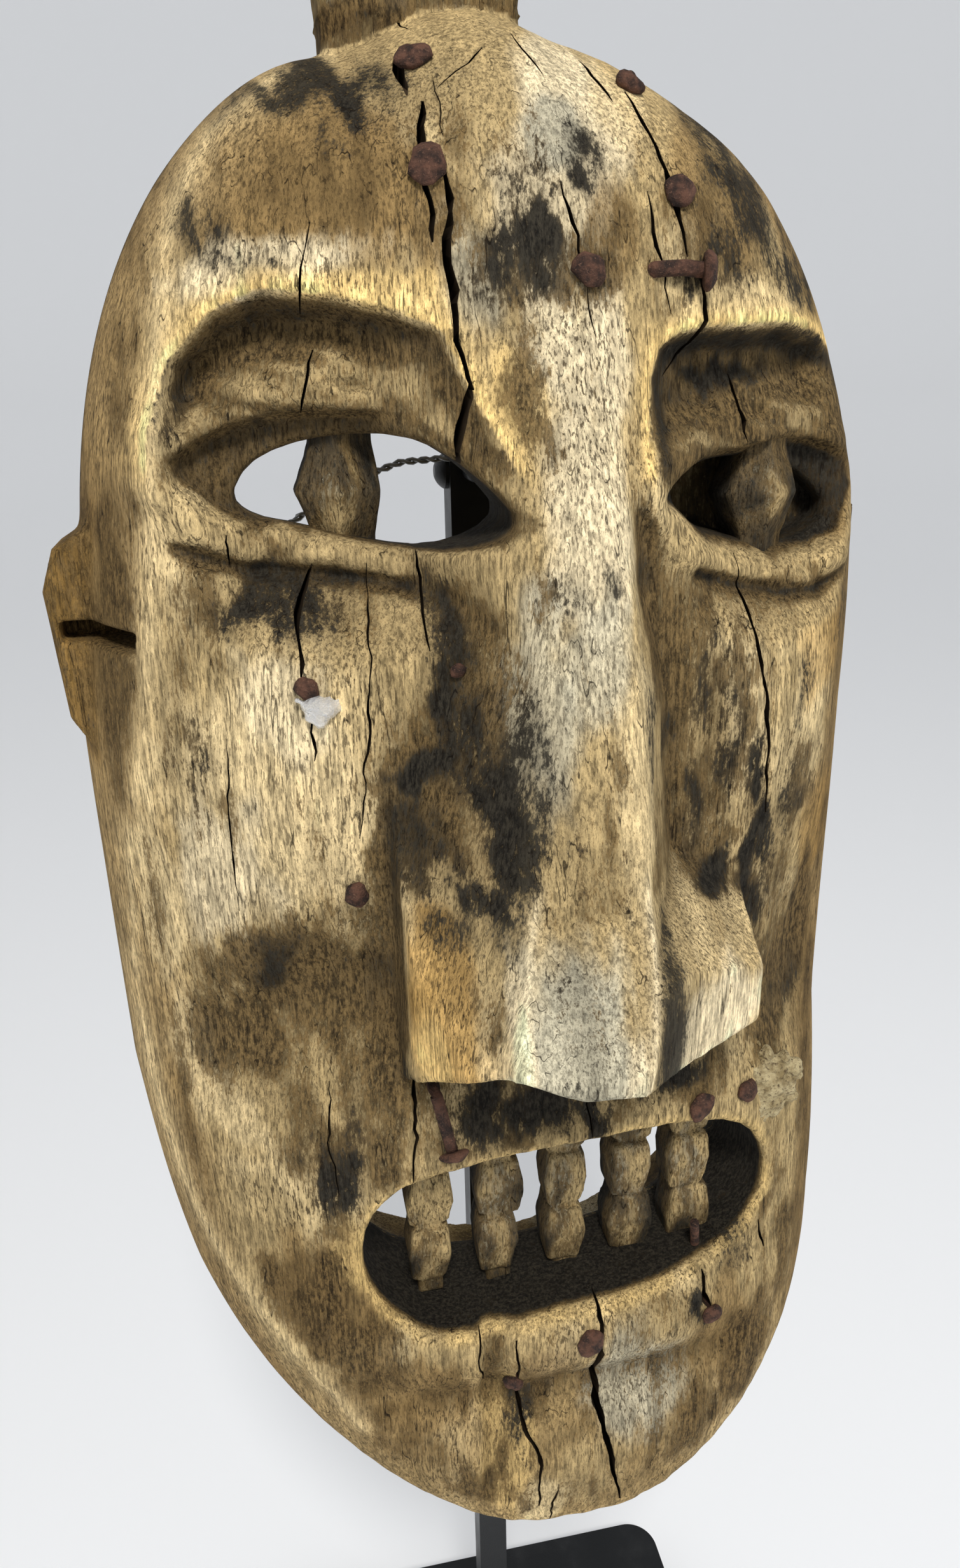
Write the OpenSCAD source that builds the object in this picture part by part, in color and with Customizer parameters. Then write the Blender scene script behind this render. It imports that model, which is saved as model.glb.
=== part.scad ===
// Carved wooden face mask hanging from a steel display stand.
// Millimetres. The origin is the centre of the underside of the stand.
// The mask looks along -Y; +Z is up.

/* [Mask] */
// Height of the face from chin to crown
face_h = 307; // [304:1:312]
// Width of the face at the rear rim
face_w = 153; // [150:1:157]
// Depth from the rear rim to the flat of the face, without the nose
face_depth = 50; // [47:1:52]
// Thickness of the carved wall
wall = 17; // [15:1:18]
// Height of the crest above the crown
crest_h = 58; // [40:1:70]

/* [Eyes and mouth] */
// Width of an eye opening
eye_w = 42; // [38:1:44]
// Height of an eye opening
eye_h = 17; // [14:1:18]
// Width of the mouth slot
mouth_w = 87; // [84:1:90]
// Height of the mouth slot
mouth_h = 40; // [38:1:42]
// Width of a tooth bar
tooth_w = 8.5; // [7:0.5:9]

/* [Iron nails] */
// Diameter of a nail's shank
nail_d = 2.4; // [2:0.1:3]
// Diameter of a nail's head
nail_head_d = 6; // [5:0.1:7]
// Length of a nail
nail_len = 14; // [11:1:15]

/* [Stand] */
// Width of the base plate
plate_w = 140; // [120:2:160]
// Depth of the base plate
plate_l = 100; // [96:2:120]
// Thickness of the base plate
plate_t = 10; // [8:1:12]
// Side of the square post
post_w = 8; // [8:0.5:9]
// Height of the chin above the table
chin_z = 174; // [160:1:190]
// Thickness of the felt under the plate
felt_t = 2; // [1:0.5:3]
// Diameter of the hanging wire
wire_d = 1.4; // [1.2:0.1:1.8]

/* [Hidden] */
$fn = 48;
tiny = 0.01;
gap = 0.4;                      // clearance between the mask and its stand

// The mask's own frame: X from near its midline, Y back from the face, Z up from just over the chin.
chin_low = -4;
crown_z = chin_low + face_h;
mask_z = chin_z - chin_low;     // height of the mask frame's zero
rim_y = 52;                     // plane of the rear rim
post_front_y = rim_y + 8;       // front face of the post, behind the rim
mask_place = [6, -(post_front_y + post_w / 2), mask_z];
half_w = face_w / 2;
wide_z = 160;                   // height of the widest section
rows = 74;
cols = 54;
inner_rows = 26;
inner_cols = 22;
side_wall = 11;                 // thinner wall at the rim
crown_power = 3.1;              // squareness of the outline above the widest section
chin_power = 4.5;               // and below it
crown_depth_power = 7;          // squareness of the profile at the crown
chin_depth_power = 60;          // and at the chin

end_gap = 0.6;                  // the outline starts this far in from its two poles
inner_low = 46;                 // height of the hollow's lower end: the chin is solid
inner_high = crown_z - 16;
crest_x = -16;
crest_t = 14;
crest_root = 32;                // width of the crest where it leaves the crown
crest_spread = 16;
hole_x = [-32, 34];             // middle of each eye opening
hole_back = [rim_y, 33];        // the left eye is pierced, the right one is a deep recess
backing_y = 38;                 // rear face of the wood left standing behind the right eye
hole_z = [229.5, 226];
hole_turn = [3, 0];
mouth_x = 4;
mouth_z = 89;
mouth_turn = -2;
pupil_r = 6.5;
pupil_neck = 4.2;
post_swell = 7;                 // from the waist of a pupil post to its neck
tooth_x = [-27, -12.5, 2, 16, 29];
tooth_y = 11;
tooth_depth = 10;
head_t = 1.3;                   // a nail head stands this proud
nail_sink = 0.9;
resin_d = 8;
putty_x = 44;
putty_z = 108;
putty_d = 15;
putty_t = 0.9;
wire_nail_out = 5.6;
corner_r = 10;
screw_d = 5;
screw_head_t = 2.8;
screw_grip = 18;
post_top = mask_z + 246;
hook_z = mask_z + 227.6;
hook_d = 3;
hook_front = -9;                // middle of the upturned tip
clamp_d = 3;
clamp_grip = 2.2;
rim_gap = post_front_y + post_w / 2 - rim_y;   // from the middle of the post to the rim

function clamp01(t) = min(1, max(0, t));
function ease(t) = let (c = clamp01(t)) c * c * (3 - 2 * c);
function hill(x, z, cx, cz, rx, rz) = exp(-pow((x - cx) / rx, 2) - pow((z - cz) / rz, 2));

// How far a height is from the widest section towards the crown or the chin, from 0 to 1.
function rise(z) = z > wide_z ? (z - wide_z) / (crown_z - wide_z) : (wide_z - z) / (wide_z - chin_low);
function section_half(z) =
  half_w * sqrt(max(0, 1 - pow(rise(z), z > wide_z ? crown_power : chin_power)));
function section_depth(z) =
  face_depth * sqrt(max(0, 1 - pow(rise(z), z > wide_z ? crown_depth_power : chin_depth_power)));
// Middle of the rear rim: the jaw stands a little to the right.
function rim_x(z) =
  lookup(z, [[0, 4], [20, 3], [40, 0], [67, -4], [90, -6], [115, -8], [185, -8.5], [225, -7], [277, -9]]);
// Squareness of a section: blunt at the chin.
function power_at(z) = lookup(z, [[0, 3.2], [60, 2.7], [120, 2.3]]);
function across(x, z) = min(1, abs(x - rim_x(z)) / max(1, section_half(z)));
function dome(x, z) = let (n = power_at(z)) section_depth(z) * pow(1 - pow(across(x, z), n), 1 / n);

// The midline of the carved face drifts to the right on its way down.
function mid_x(z) = lookup(z, [[0, -8], [60, 3], [90, 4], [140, 2], [165, -3], [200, -1], [250, -4], [300, -5]]);

// Nose: a flat-fronted wedge with flared wings.
nose_ridge = [[136, 0], [141, 24], [147, 35], [168, 21], [200, 12], [235, 5], [262, 0]];
nose_front = [[136, 9], [150, 9.5], [168, 8], [200, 6], [262, 6]];
nose_base = [[132, 34], [150, 33], [158, 31], [170, 21], [185, 17], [225, 14], [262, 22]];
function nose(x, z) =
  let (u = abs(x - mid_x(z)), f = lookup(z, nose_front), b = lookup(z, nose_base))
  lookup(z, nose_ridge) * ease(0.12 + 0.88 * clamp01((b - u) / (b - f)));

// Sockets under the brow edge, the lid groove below each eye.
eye_x = [-32, 34];
eye_z = [229, 226];
brow_z = [258, 253];
groove_z = [216, 211];
socket_depth = 12;
socket_half = 31;
function socket(x, z, side) =
  let (
    u = clamp01(abs(x - eye_x[side]) / socket_half),
    top = brow_z[side] - 16 * u * u * u,
    low = groove_z[side] + 4 * u * u,
    t = clamp01((top - z) / (top - low))
  )
  socket_depth * ease(t / 0.35) * ease((1 - t) / 0.45) * ease((1 - u) / 0.3);

function relief(x, z) =
  nose(x, z) - socket(x, z, 0) - socket(x, z, 1)
  + 6 * hill(x, z, mid_x(z), 100, 34, 24)           // muzzle around the mouth
  + 4 * hill(x, z, mid_x(z), 52, 26, 22)            // chin
  + 3 * hill(x, z, -43, 190, 20, 22)                // left cheekbone
  + 3 * hill(x, z, 42, 186, 20, 22)                 // right cheekbone
  - 5 * hill(x, z, -52, 135, 17, 17)                // hollow of the left cheek
  - 5 * hill(x, z, 54, 132, 15, 18);                // hollow of the right cheek

function face_y(x, z) = rim_y - dome(x, z) - relief(x, z) * ease((1 - across(x, z)) / 0.25);

// Row heights close up towards the chin and the crown, columns towards the sides.
function row_z(i, n, low, high) =
  let (t = i / n, bend = (1 - cos(180 * t)) / 2)
  low + (high - low) * (0.55 * t + 0.45 * bend);
function col_s(j, n) = let (t = 2 * j / n - 1) 0.5 * t + 0.5 * sin(90 * t);

module place_mask() translate(mask_place) children();

// A solid from sections across X: bulging forwards, flat at the back.
module loft(points, n, m) {
  w = m + 1;
  front = [for (i = [0:n - 1], j = [0:m - 1]) each
    let (a = i * w + j) [[a, a + w, a + w + 1], [a, a + w + 1, a + 1]]];
  back = [for (i = [0:n - 1]) each
    let (a = i * w, b = i * w + m) [[a, b, b + w], [a, b + w, a + w]]];
  bottom = [for (j = [0:m]) j];
  top = [for (j = [m:-1:0]) n * w + j];
  polyhedron(points = points, faces = concat([bottom, top], front, back));
}

module outer_form() {
  points = [for (i = [0:rows], j = [0:cols])
    let (
      z = row_z(i, rows, chin_low + end_gap, crown_z - end_gap),
      x = rim_x(z) + section_half(z) * col_s(j, cols)
    )
    [x, j == 0 || j == cols ? rim_y : face_y(x, z), z]];
  loft(points, rows, cols);
}

// The hollow follows the dome without the carved relief, and runs out past the rim.
module inner_form() {
  mid = (inner_low + inner_high) / 2;
  points = [for (i = [0:inner_rows], j = [0:inner_cols])
    let (
      z = row_z(i, inner_rows, inner_low, inner_high),
      t = abs(z - mid) / (inner_high - mid + end_gap),
      half = (half_w - side_wall) * sqrt(1 - pow(t, 3.2)),
      s = col_s(j, inner_cols),
      bulge = sqrt(1 - pow(t, 5)) * pow(1 - pow(abs(s), 2.6), 1 / 1.8)
    )
    [rim_x(z) + half * s, rim_y + 1 - (face_depth - wall + 1) * bulge, z]];
  loft(points, inner_rows, inner_cols);
}

// An outline of points in X and Z, cut or raised along Y.
module along_y(y0, y1) translate([0, y1, 0]) rotate([90, 0, 0]) linear_extrude(y1 - y0) children();

module almond(w, h) {
  r = (w * w / 4 + h * h / 4) / h;
  intersection() {
    translate([0, h / 2 - r]) circle(r);
    translate([0, r - h / 2]) circle(r);
  }
}

module eye_cut(side) {
  flare = 1.25;
  translate([hole_x[side], 0, hole_z[side]]) rotate([0, hole_turn[side], 0])
    along_y(-20, hole_back[side]) intersection() {
      almond(eye_w * flare, eye_h * flare);
      square([eye_w, eye_h], center = true);
    }
}

module mouth_cut() {
  r = mouth_h / 2;
  translate([mouth_x, 0, mouth_z]) rotate([0, mouth_turn, 0]) along_y(-30, rim_y) {
    square([mouth_w - mouth_h, mouth_h], center = true);
    for (s = [-1, 1]) translate([s * (mouth_w - mouth_h) / 2, 0]) circle(r);
  }
}

// A flared comb that stands on the crown.
module crest() {
  top = crown_z + crest_h;
  along_y(rim_y - crest_t, rim_y - 1) hull() {
    translate([crest_x - crest_root / 2, crown_z - 18]) square([crest_root, 1]);
    for (s = [-1, 0, 1]) translate([crest_x + s * crest_spread, top - 10 - 4 * abs(s)]) circle(10);
  }
}

// A block ear with a notch across its middle. Its back is flush with the rim.
module ear(x, y, out) {
  deep = rim_y - 1 - y;
  translate([x, y, 0]) difference() {
    rotate([90, 0, 90]) linear_extrude(out)
      polygon([[0, 193], [5, 187], [deep, 188], [deep, 222], [deep - 6, 226], [-1, 220]]);
    translate([out - 5, -2, 203]) cube([6, deep - 5, 6]);
  }
}

module mask_shell() color("tan") place_mask() resize([0, 0, 0]) difference() {
  union() {
    outer_form();
    crest();
    mirror([1, 0, 0]) ear(70, 33, 16.5);
    ear(54, 41, 15.5);
  }
  difference() {
    inner_form();
    translate([8, 0, 205]) cube([56, backing_y, 42]);
  }
  for (side = [0, 1]) eye_cut(side);
  mouth_cut();
}

// A six-sided post with a pointed waist that stands in an eye opening.
module pupil_post(x, y, z, turn) {
  grip = 2;
  place_mask() translate([x, y, z]) rotate([0, 0, turn]) {
    for (s = [0, 1]) mirror([0, 0, s]) {
      cylinder(h = post_swell, r1 = pupil_r, r2 = pupil_neck, $fn = 6);
      translate([0, 0, post_swell - tiny])
        cylinder(h = eye_h / 2 - post_swell + grip, r = pupil_neck, $fn = 6);
    }
  }
}
module pupil_post_left() color("saddlebrown") pupil_post(-35, 20, 229.5, 0);
module pupil_post_right() color("saddlebrown") pupil_post(39, 21, 226, 15);

// A tooth bar: three stacked blocks with sloping fronts, joined at their backs.
module tooth_bar(n) {
  x = tooth_x[n];
  z0 = mouth_z - mouth_h / 2 - 1.5;
  h = mouth_h + 3;
  step = h / 3;
  profile = concat(
    [[tooth_y + tooth_depth, z0 + h], [tooth_y + tooth_depth, z0]],
    [for (k = [0:2]) each [[tooth_y, z0 + k * step + 0.5], [tooth_y + 1.8, z0 + (k + 1) * step - 0.5]]]
  );
  color("peru") place_mask() translate([x - tooth_w / 2, 0, 0])
    rotate([90, 0, 90]) linear_extrude(tooth_w) polygon(profile);
}
module tooth_bar_1() tooth_bar(0);
module tooth_bar_2() tooth_bar(1);
module tooth_bar_3() tooth_bar(2);
module tooth_bar_4() tooth_bar(3);
module tooth_bar_5() tooth_bar(4);

// A hand-forged nail along +Z, its head's underside at zero.
module nail(length, head = nail_head_d) {
  translate([0, 0, -length]) cylinder(h = length, d = nail_d);
  translate([0, 0, -nail_sink]) cylinder(h = nail_sink + head_t, d = head, $fn = 9);
}

// A nail driven square into the face at a given place across and up.
module face_nail(x, z, length = nail_len, head = nail_head_d) {
  d = 1;
  p = [x, face_y(x, z), z];
  n = [
    (face_y(x + d, z) - face_y(x - d, z)) / (2 * d), -1,
    (face_y(x, z + d) - face_y(x, z - d)) / (2 * d)
  ];
  place_mask() translate(p) rotate([0, acos(n.z / norm(n)), atan2(n.y, n.x)]) nail(length, head);
}

module crown_nails() color("sienna") {
  face_nail(-20.5, 290.5);
  face_nail(13, 288);
}
module forehead_nails() color("sienna") {
  face_nail(-21, 275);
  face_nail(17.4, 272);
  face_nail(1.6, 261);
}
module cheek_nails() color("sienna") {
  face_nail(-43.6, 201);
  face_nail(-38, 164.5);
  face_nail(-19.6, 203, nail_len, 3.5);
}
module lip_nails() color("sienna") {
  face_nail(26, 113, nail_len / 2);
  face_nail(38, 110, nail_len / 2);
}
module chin_nails() color("sienna") {
  face_nail(-12, 49);
  face_nail(3, 61);
  face_nail(30, 58);
}

// A rod between two points with rounded ends.
module rod(a, b, d) {
  v = b - a;
  translate(a) rotate([0, acos(v.z / norm(v)), atan2(v.y, v.x)]) cylinder(h = norm(v), d = d);
}

// A nail bent flat over the crack: its leg goes back into the wood at one end, its head is at the other.
module staple_nail() color("sienna") place_mask() {
  span = 11;
  translate([11.5, face_y(17, 261) - 1, 261]) {
    rotate([0, 90, 0]) cylinder(h = span, d = nail_d);
    rotate([0, 90, 0]) translate([0, 0, span - 2]) cylinder(h = head_t, d = nail_head_d, $fn = 9);
    translate([1.4, -0.5, 0]) rotate([-90, 0, 0]) cylinder(h = 9, d = nail_d * 0.8);
  }
}

// A nail knocked over, lying down the upper lip with its head at the bottom.
module bent_nail() color("sienna") place_mask() {
  top = [-25, face_y(-25, 121) - 0.6, 121];
  low = [-24, face_y(-24, 111) - 0.6, 111];
  rod(top, low, nail_d);
  rod(top + [0, 9, 1.5], top, nail_d);
  translate(top) sphere(d = nail_d + 0.6);
  translate(low) rotate([0, 180, 0]) cylinder(h = head_t, d = nail_head_d, $fn = 9);
}

// A thin nail standing out of the floor of the mouth.
module mouth_nail() color("sienna") place_mask() {
  z = mouth_z - mouth_h / 2;
  rod([30, 9, z - 6], [28, 6, z + 8], nail_d * 0.8);
}

module resin_lump() color("white") place_mask()
  translate([-43, face_y(-43, 196) - 1, 195]) scale([1, 0.7, 1]) sphere(d = resin_d);

// A thin patch of filler that follows the face.
module putty_patch() color("burlywood") place_mask() resize([0, 0, 0]) difference() {
  intersection() {
    translate([putty_x, 14, putty_z]) rotate([90, 0, 0]) cylinder(h = 40, d = putty_d, center = true);
    translate([0, -putty_t, 0]) outer_form();
  }
  translate([0, putty_t, 0]) outer_form();
}

// Two nails in the rear rim carry the wire.
module wire_nails() color("sienna") place_mask() for (p = wire_nail)
  translate([p.x, rim_y + wire_nail_out, p.y]) rotate([-90, 0, 0]) nail(wire_nail_out + nail_len, 5);

function turn_point(p, a, y) =
  let (r = nail_d / 2 + wire_d / 2 + 0.1) [p.x + r * cos(a), y, p.y + r * sin(a)];

// The wire: a turn round one nail, over the hook, a turn round the other.
wire_nail = [[-76, 196], [62, 196]];
wire_span = [
  [-60, 57.2, 207], [-45, 57.6, 218], [-30, 58, 227], [-20, 58.4, 230.2], [-6, 58.5, 230.8],
  [8, 58.4, 230.2], [18, 58, 227], [33, 57.6, 218], [48, 57.2, 207]
];
wire_turn_a = [for (k = [0:11]) turn_point(wire_nail[0], 90 - 30 * (11 - k), 54 + 0.22 * k)];
wire_turn_b = [for (k = [0:11]) turn_point(wire_nail[1], 90 + 30 * k, 56.4 - 0.22 * k)];
wire_route = concat(wire_turn_a, wire_span, wire_turn_b);

// A round tube along a route that lies nearly in a plane across Y.
module tube(route, d) {
  sides = 8;
  n = len(route);
  ring = [for (i = [0:n - 1]) each
    let (
      v = route[min(n - 1, i + 1)] - route[max(0, i - 1)],
      t = v / norm(v),
      u = cross(t, [0, 1, 0]) / norm(cross(t, [0, 1, 0])),
      w = cross(u, t)
    )
    [for (k = [0:sides - 1]) route[i] + d / 2 * (u * cos(360 * k / sides) + w * sin(360 * k / sides))]];
  skin = [for (i = [0:n - 2], k = [0:sides - 1]) each
    let (a = i * sides + k, b = i * sides + (k + 1) % sides) [[a, b, b + sides], [a, b + sides, a + sides]]];
  polyhedron(
    points = ring,
    faces = concat([[for (k = [sides - 1:-1:0]) k]], skin, [[for (k = [0:sides - 1]) (n - 1) * sides + k]])
  );
}

module hanging_wire() color("darkgray") place_mask() tube(wire_route, wire_d);

module rounded_slab(w, l, t, r) linear_extrude(t) {
  square([w - 2 * r, l], center = true);
  square([w, l - 2 * r], center = true);
  for (x = [-1, 1], y = [-1, 1]) translate([x * (w / 2 - r), y * (l / 2 - r)]) circle(r);
}

module felt_pad() color("dimgray") rounded_slab(plate_w - 4, plate_l - 4, felt_t, corner_r - 2);

module base_plate() color("black") difference() {
  translate([0, 0, felt_t]) rounded_slab(plate_w, plate_l, plate_t, corner_r);
  translate([0, 0, felt_t - tiny]) cylinder(h = plate_t + 1, d = screw_d + 0.4);
  translate([0, 0, felt_t - tiny]) cylinder(h = screw_head_t + 0.2, d1 = 2 * screw_d + 0.8, d2 = screw_d + 0.4);
}

module post_screw() color("gray") translate([0, 0, felt_t + 0.1]) {
  cylinder(h = screw_head_t, d1 = 2 * screw_d, d2 = screw_d);
  cylinder(h = plate_t + screw_grip, d = screw_d);
}

module post() color("black") difference() {
  translate([-post_w / 2, -post_w / 2, felt_t + plate_t])
    cube([post_w, post_w, post_top - felt_t - plate_t]);
  translate([0, 0, felt_t + plate_t - tiny]) cylinder(h = screw_grip + 1, d = screw_d);
  translate([0, 0, hook_z]) rotate([90, 0, 0]) cylinder(h = post_w + 2, d = hook_d, center = true);
  translate([-post_w / 2 - 1, 0, hook_z]) rotate([0, 90, 0]) cylinder(h = clamp_grip + 1, d = clamp_d);
}

// A rod through the post, turned up in front to hold the wire.
module wire_hook() color("black") {
  translate([0, hook_front, hook_z]) rotate([-90, 0, 0]) cylinder(h = post_w / 2 + 5 - hook_front, d = hook_d);
  translate([0, hook_front, hook_z]) sphere(d = hook_d);
  translate([0, hook_front, hook_z]) cylinder(h = 7, d = hook_d);
}

module hook_nut() color("gray") translate([0, post_w / 2, hook_z]) rotate([-90, 0, 0]) difference() {
  cylinder(h = 2.4, d = 6.2, $fn = 6);
  translate([0, 0, -1]) cylinder(h = 5, d = hook_d);
}

// A dome-headed bolt in the side of the post locks the hook.
module clamp_bolt() color("dimgray") translate([-post_w / 2, 0, hook_z]) rotate([0, -90, 0]) {
  intersection() {
    cylinder(h = 2.6, d = 7);
    translate([0, 0, -1.2]) sphere(d = 8);
  }
  translate([0, 0, -clamp_grip + 0.2]) cylinder(h = clamp_grip, d = clamp_d);
}

// A cork pad on the post that the chin leans on.
module chin_rest() color("peru")
  translate([-post_w / 2, -rim_gap + gap, mask_z + 8]) cube([post_w, rim_gap - gap - post_w / 2, 16]);

felt_pad();
base_plate();
post_screw();
post();
wire_hook();
hook_nut();
clamp_bolt();
chin_rest();
mask_shell();
pupil_post_left();
pupil_post_right();
tooth_bar_1();
tooth_bar_2();
tooth_bar_3();
tooth_bar_4();
tooth_bar_5();
crown_nails();
forehead_nails();
staple_nail();
cheek_nails();
lip_nails();
bent_nail();
mouth_nail();
chin_nails();
resin_lump();
putty_patch();
wire_nails();
hanging_wire();
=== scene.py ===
import math

import bpy
import numpy as np
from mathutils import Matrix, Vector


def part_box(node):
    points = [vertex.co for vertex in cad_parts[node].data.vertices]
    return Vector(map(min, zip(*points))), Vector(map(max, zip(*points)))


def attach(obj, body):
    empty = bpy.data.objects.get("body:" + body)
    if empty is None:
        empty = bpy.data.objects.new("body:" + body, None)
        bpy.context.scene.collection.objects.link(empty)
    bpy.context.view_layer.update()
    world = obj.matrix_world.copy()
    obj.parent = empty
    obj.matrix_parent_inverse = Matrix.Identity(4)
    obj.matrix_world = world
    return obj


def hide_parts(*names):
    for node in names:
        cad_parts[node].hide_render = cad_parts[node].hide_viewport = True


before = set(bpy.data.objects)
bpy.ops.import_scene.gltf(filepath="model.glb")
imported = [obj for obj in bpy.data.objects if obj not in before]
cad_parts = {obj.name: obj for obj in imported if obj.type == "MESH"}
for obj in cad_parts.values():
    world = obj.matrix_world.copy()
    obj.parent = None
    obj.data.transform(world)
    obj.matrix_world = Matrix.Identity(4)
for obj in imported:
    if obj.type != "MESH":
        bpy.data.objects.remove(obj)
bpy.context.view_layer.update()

import openvdb
from mathutils import Matrix, Vector

# ---- Places. Shapes of the mask are worked out in millimetres in the mask's own frame: X across from
# near the midline, Y back from the face, Z up from the chin. MASK_PLACE moves them to the frame.
MM = 0.001
SHELL_LOW, SHELL_HIGH = (np.array(corner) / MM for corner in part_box("mask_shell"))
RIM_Y = 52.0                     # plane of the rear rim
FACE_H = 303.0                   # height of the face without its crest
HALF_W = 76.5                    # half the width of the widest section
FACE_DEPTH = 50.0                # how far the dome stands in front of the rim
WIDE_Z = 160.0                   # height of the widest section
CHIN_Z = -4.0                    # the chin's tip; zero is just above it
POLE_GAP = 0.6                   # the CAD outline starts this far above the tip
WIDTH_POWERS = 3.1, 4.5          # how blunt the width closes at the crown and at the chin
DEPTH_POWERS = 7, 60             # the same for the depth
HOLLOW_MID, HOLLOW_REACH = 166.5, 121.1   # the rear hollow leaves the chin solid
HOLLOW_HALF, HOLLOW_DEEP = 65.5, 34       # half its width, and its depth
HOLLOW_POWER = 2.3               # squareness of the hollow's section
BACKING = (8, 0, 205), (64, 38, 247)      # wood left behind the right eye
EAR_NOTCH = (-84.2, 20, 204.2), (-70, 40, 207.8)   # the split in the left ear
MASK_PLACE = np.array([6.0, SHELL_HIGH[1] - RIM_Y, SHELL_LOW[2] - POLE_GAP - CHIN_Z])
VOXEL = 0.8


# ---- Small mathematics
def lookup(value, table):
    """Straight lines between the (place, value) pairs of a short table."""
    places, values = zip(*sorted(table))
    return np.interp(value, places, values)


def ease(t):
    """From 0 to 1 with level ends, as t goes from 0 to 1."""
    t = np.clip(t, 0.0, 1.0)
    return t * t * (3 - 2 * t)


def hill(x, z, cx, cz, rx, rz, turn=0.0):
    """A round bump of height 1, turned anticlockwise by turn degrees."""
    c, s = math.cos(math.radians(turn)), math.sin(math.radians(turn))
    dx, dz = x - cx, z - cz
    return np.exp(-((c * dx + s * dz) / rx) ** 2 - ((c * dz - s * dx) / rz) ** 2)


def soft_min(a, b, r):
    """The lesser of two fields, rounded where they meet over a width of r."""
    h = np.clip(0.5 + 0.5 * (b - a) / r, 0, 1)
    return b + (a - b) * h - r * h * (1 - h)


def soft_max(a, b, r):
    return -soft_min(-a, -b, r)


def value_noise(points, seed):
    """Smooth noise between -1 and 1 at points in cell units, the same on every run.

    The large numbers only scramble a cell's place into its value.
    """
    base = np.floor(points).astype(np.int64)
    part = points - base
    part = part * part * (3 - 2 * part)
    total = np.zeros(points.shape[:-1])
    dims = points.shape[-1]
    for corner in range(2 ** dims):
        weight = np.ones(points.shape[:-1])
        mix = np.full(points.shape[:-1], seed * 374761393 % 2147483647, np.int64)
        for axis in range(dims):
            bit = (corner >> axis) & 1
            cell = base[..., axis] + bit
            weight = weight * (part[..., axis] if bit else 1 - part[..., axis])
            mix = (mix ^ (cell * (668265263 + 1013904223 * axis))) & 0x7FFFFFFF
            mix = (mix * 1103515245 + 12345) & 0x7FFFFFFF
        mix = ((mix >> 13) ^ mix) & 0xFFFF
        total += weight * (mix / 32767.5 - 1)
    return total


def flat_noise(x, z, size_x, size_z, seed, octaves=3):
    """Noise in the XZ plane in patches of about size_x by size_z, with finer layers added."""
    points = np.stack([x / size_x, z / size_z], -1)
    total = np.zeros(points.shape[:-1])
    for k in range(octaves):
        total += value_noise(points * 2.0 ** k, seed + k) * 0.5 ** k
    return total


def line_distance(x, z, route):
    """Distance in the XZ plane to an open line of points."""
    nearest = np.full(x.shape, 1e9)
    for (ax, az), (bx, bz) in zip(route[:-1], route[1:]):
        ux, uz = bx - ax, bz - az
        t = np.clip(((x - ax) * ux + (z - az) * uz) / (ux * ux + uz * uz), 0, 1)
        nearest = np.minimum(nearest, np.hypot(x - ax - t * ux, z - az - t * uz))
    return nearest


def outline_distance(x, z, outline):
    """Signed distance to a closed outline: negative inside it."""
    inside = np.zeros(x.shape, bool)
    for (ax, az), (bx, bz) in zip(outline, outline[1:] + outline[:1]):
        crosses = (az > z) != (bz > z)
        inside ^= crosses & (x < (bx - ax) * (z - az) / ((bz - az) or 1e-9) + ax)
    distance = line_distance(x, z, outline + outline[:1])
    return np.where(inside, -distance, distance)


def rounded(outline):
    """The outline with its corners cut off once."""
    cut = []
    for (ax, az), (bx, bz) in zip(outline, outline[1:] + outline[:1]):
        cut.append((0.75 * ax + 0.25 * bx, 0.75 * az + 0.25 * bz))
        cut.append((0.25 * ax + 0.75 * bx, 0.25 * az + 0.75 * bz))
    return cut


# ---- The carved face, as heights in front of the dome
DOME_POWER = [(0, 3.2), (60, 2.7), (120, 2.3)]       # squareness of a section: blunt at the chin
RIM_X = [(0, 4), (20, 3), (40, 0), (67, -4), (90, -6), (115, -8), (185, -8.5), (225, -7), (277, -9)]


def rise(z):
    """From 0 at the widest section to 1 at the crown or the chin."""
    upper, lower = (z - WIDE_Z) / (FACE_H - WIDE_Z), (WIDE_Z - z) / (WIDE_Z - CHIN_Z)
    return np.clip(np.where(z > WIDE_Z, upper, lower), 0, 1)


def section_half(z):
    return HALF_W * np.sqrt(1 - rise(z) ** np.where(z > WIDE_Z, *WIDTH_POWERS))


def section_depth(z):
    return FACE_DEPTH * np.sqrt(1 - rise(z) ** np.where(z > WIDE_Z, *DEPTH_POWERS))


def across(x, z):
    """Place across a section: -1 and 1 at its two edges."""
    return (x - lookup(z, RIM_X)) / np.maximum(1, section_half(z))


def rim_fade(x, z):
    """From 0 at the edge of the face to 1 further in."""
    return ease((1 - np.minimum(1, np.abs(across(x, z)))) / 0.22)


def hollow_size(z, half, deep, least):
    """Half-width and depth of the rear hollow at each height, closing at its two ends."""
    t = np.clip(np.abs(z - HOLLOW_MID) / HOLLOW_REACH, 0, 1)
    return np.maximum(least, half * np.sqrt(1 - t ** 3.2)), np.maximum(least, deep * np.sqrt(1 - t ** 5))


def sunk(x, z):
    """Height at which the dome is read: the crown sinks on both sides of its ridge."""
    drop = 3.0 * ease((x + 10) / 16) + 3.5 * np.exp(-((x + 28) / 11) ** 2)
    return z + drop * ease((z - 272) / 20)


def dome_depth(x, z):
    """How far the plain dome stands in front of the rim's plane."""
    z = sunk(x, z)
    power = lookup(z, DOME_POWER)
    return section_depth(z) * (1 - np.minimum(1, np.abs(across(x, z))) ** power) ** (1 / power)


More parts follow.
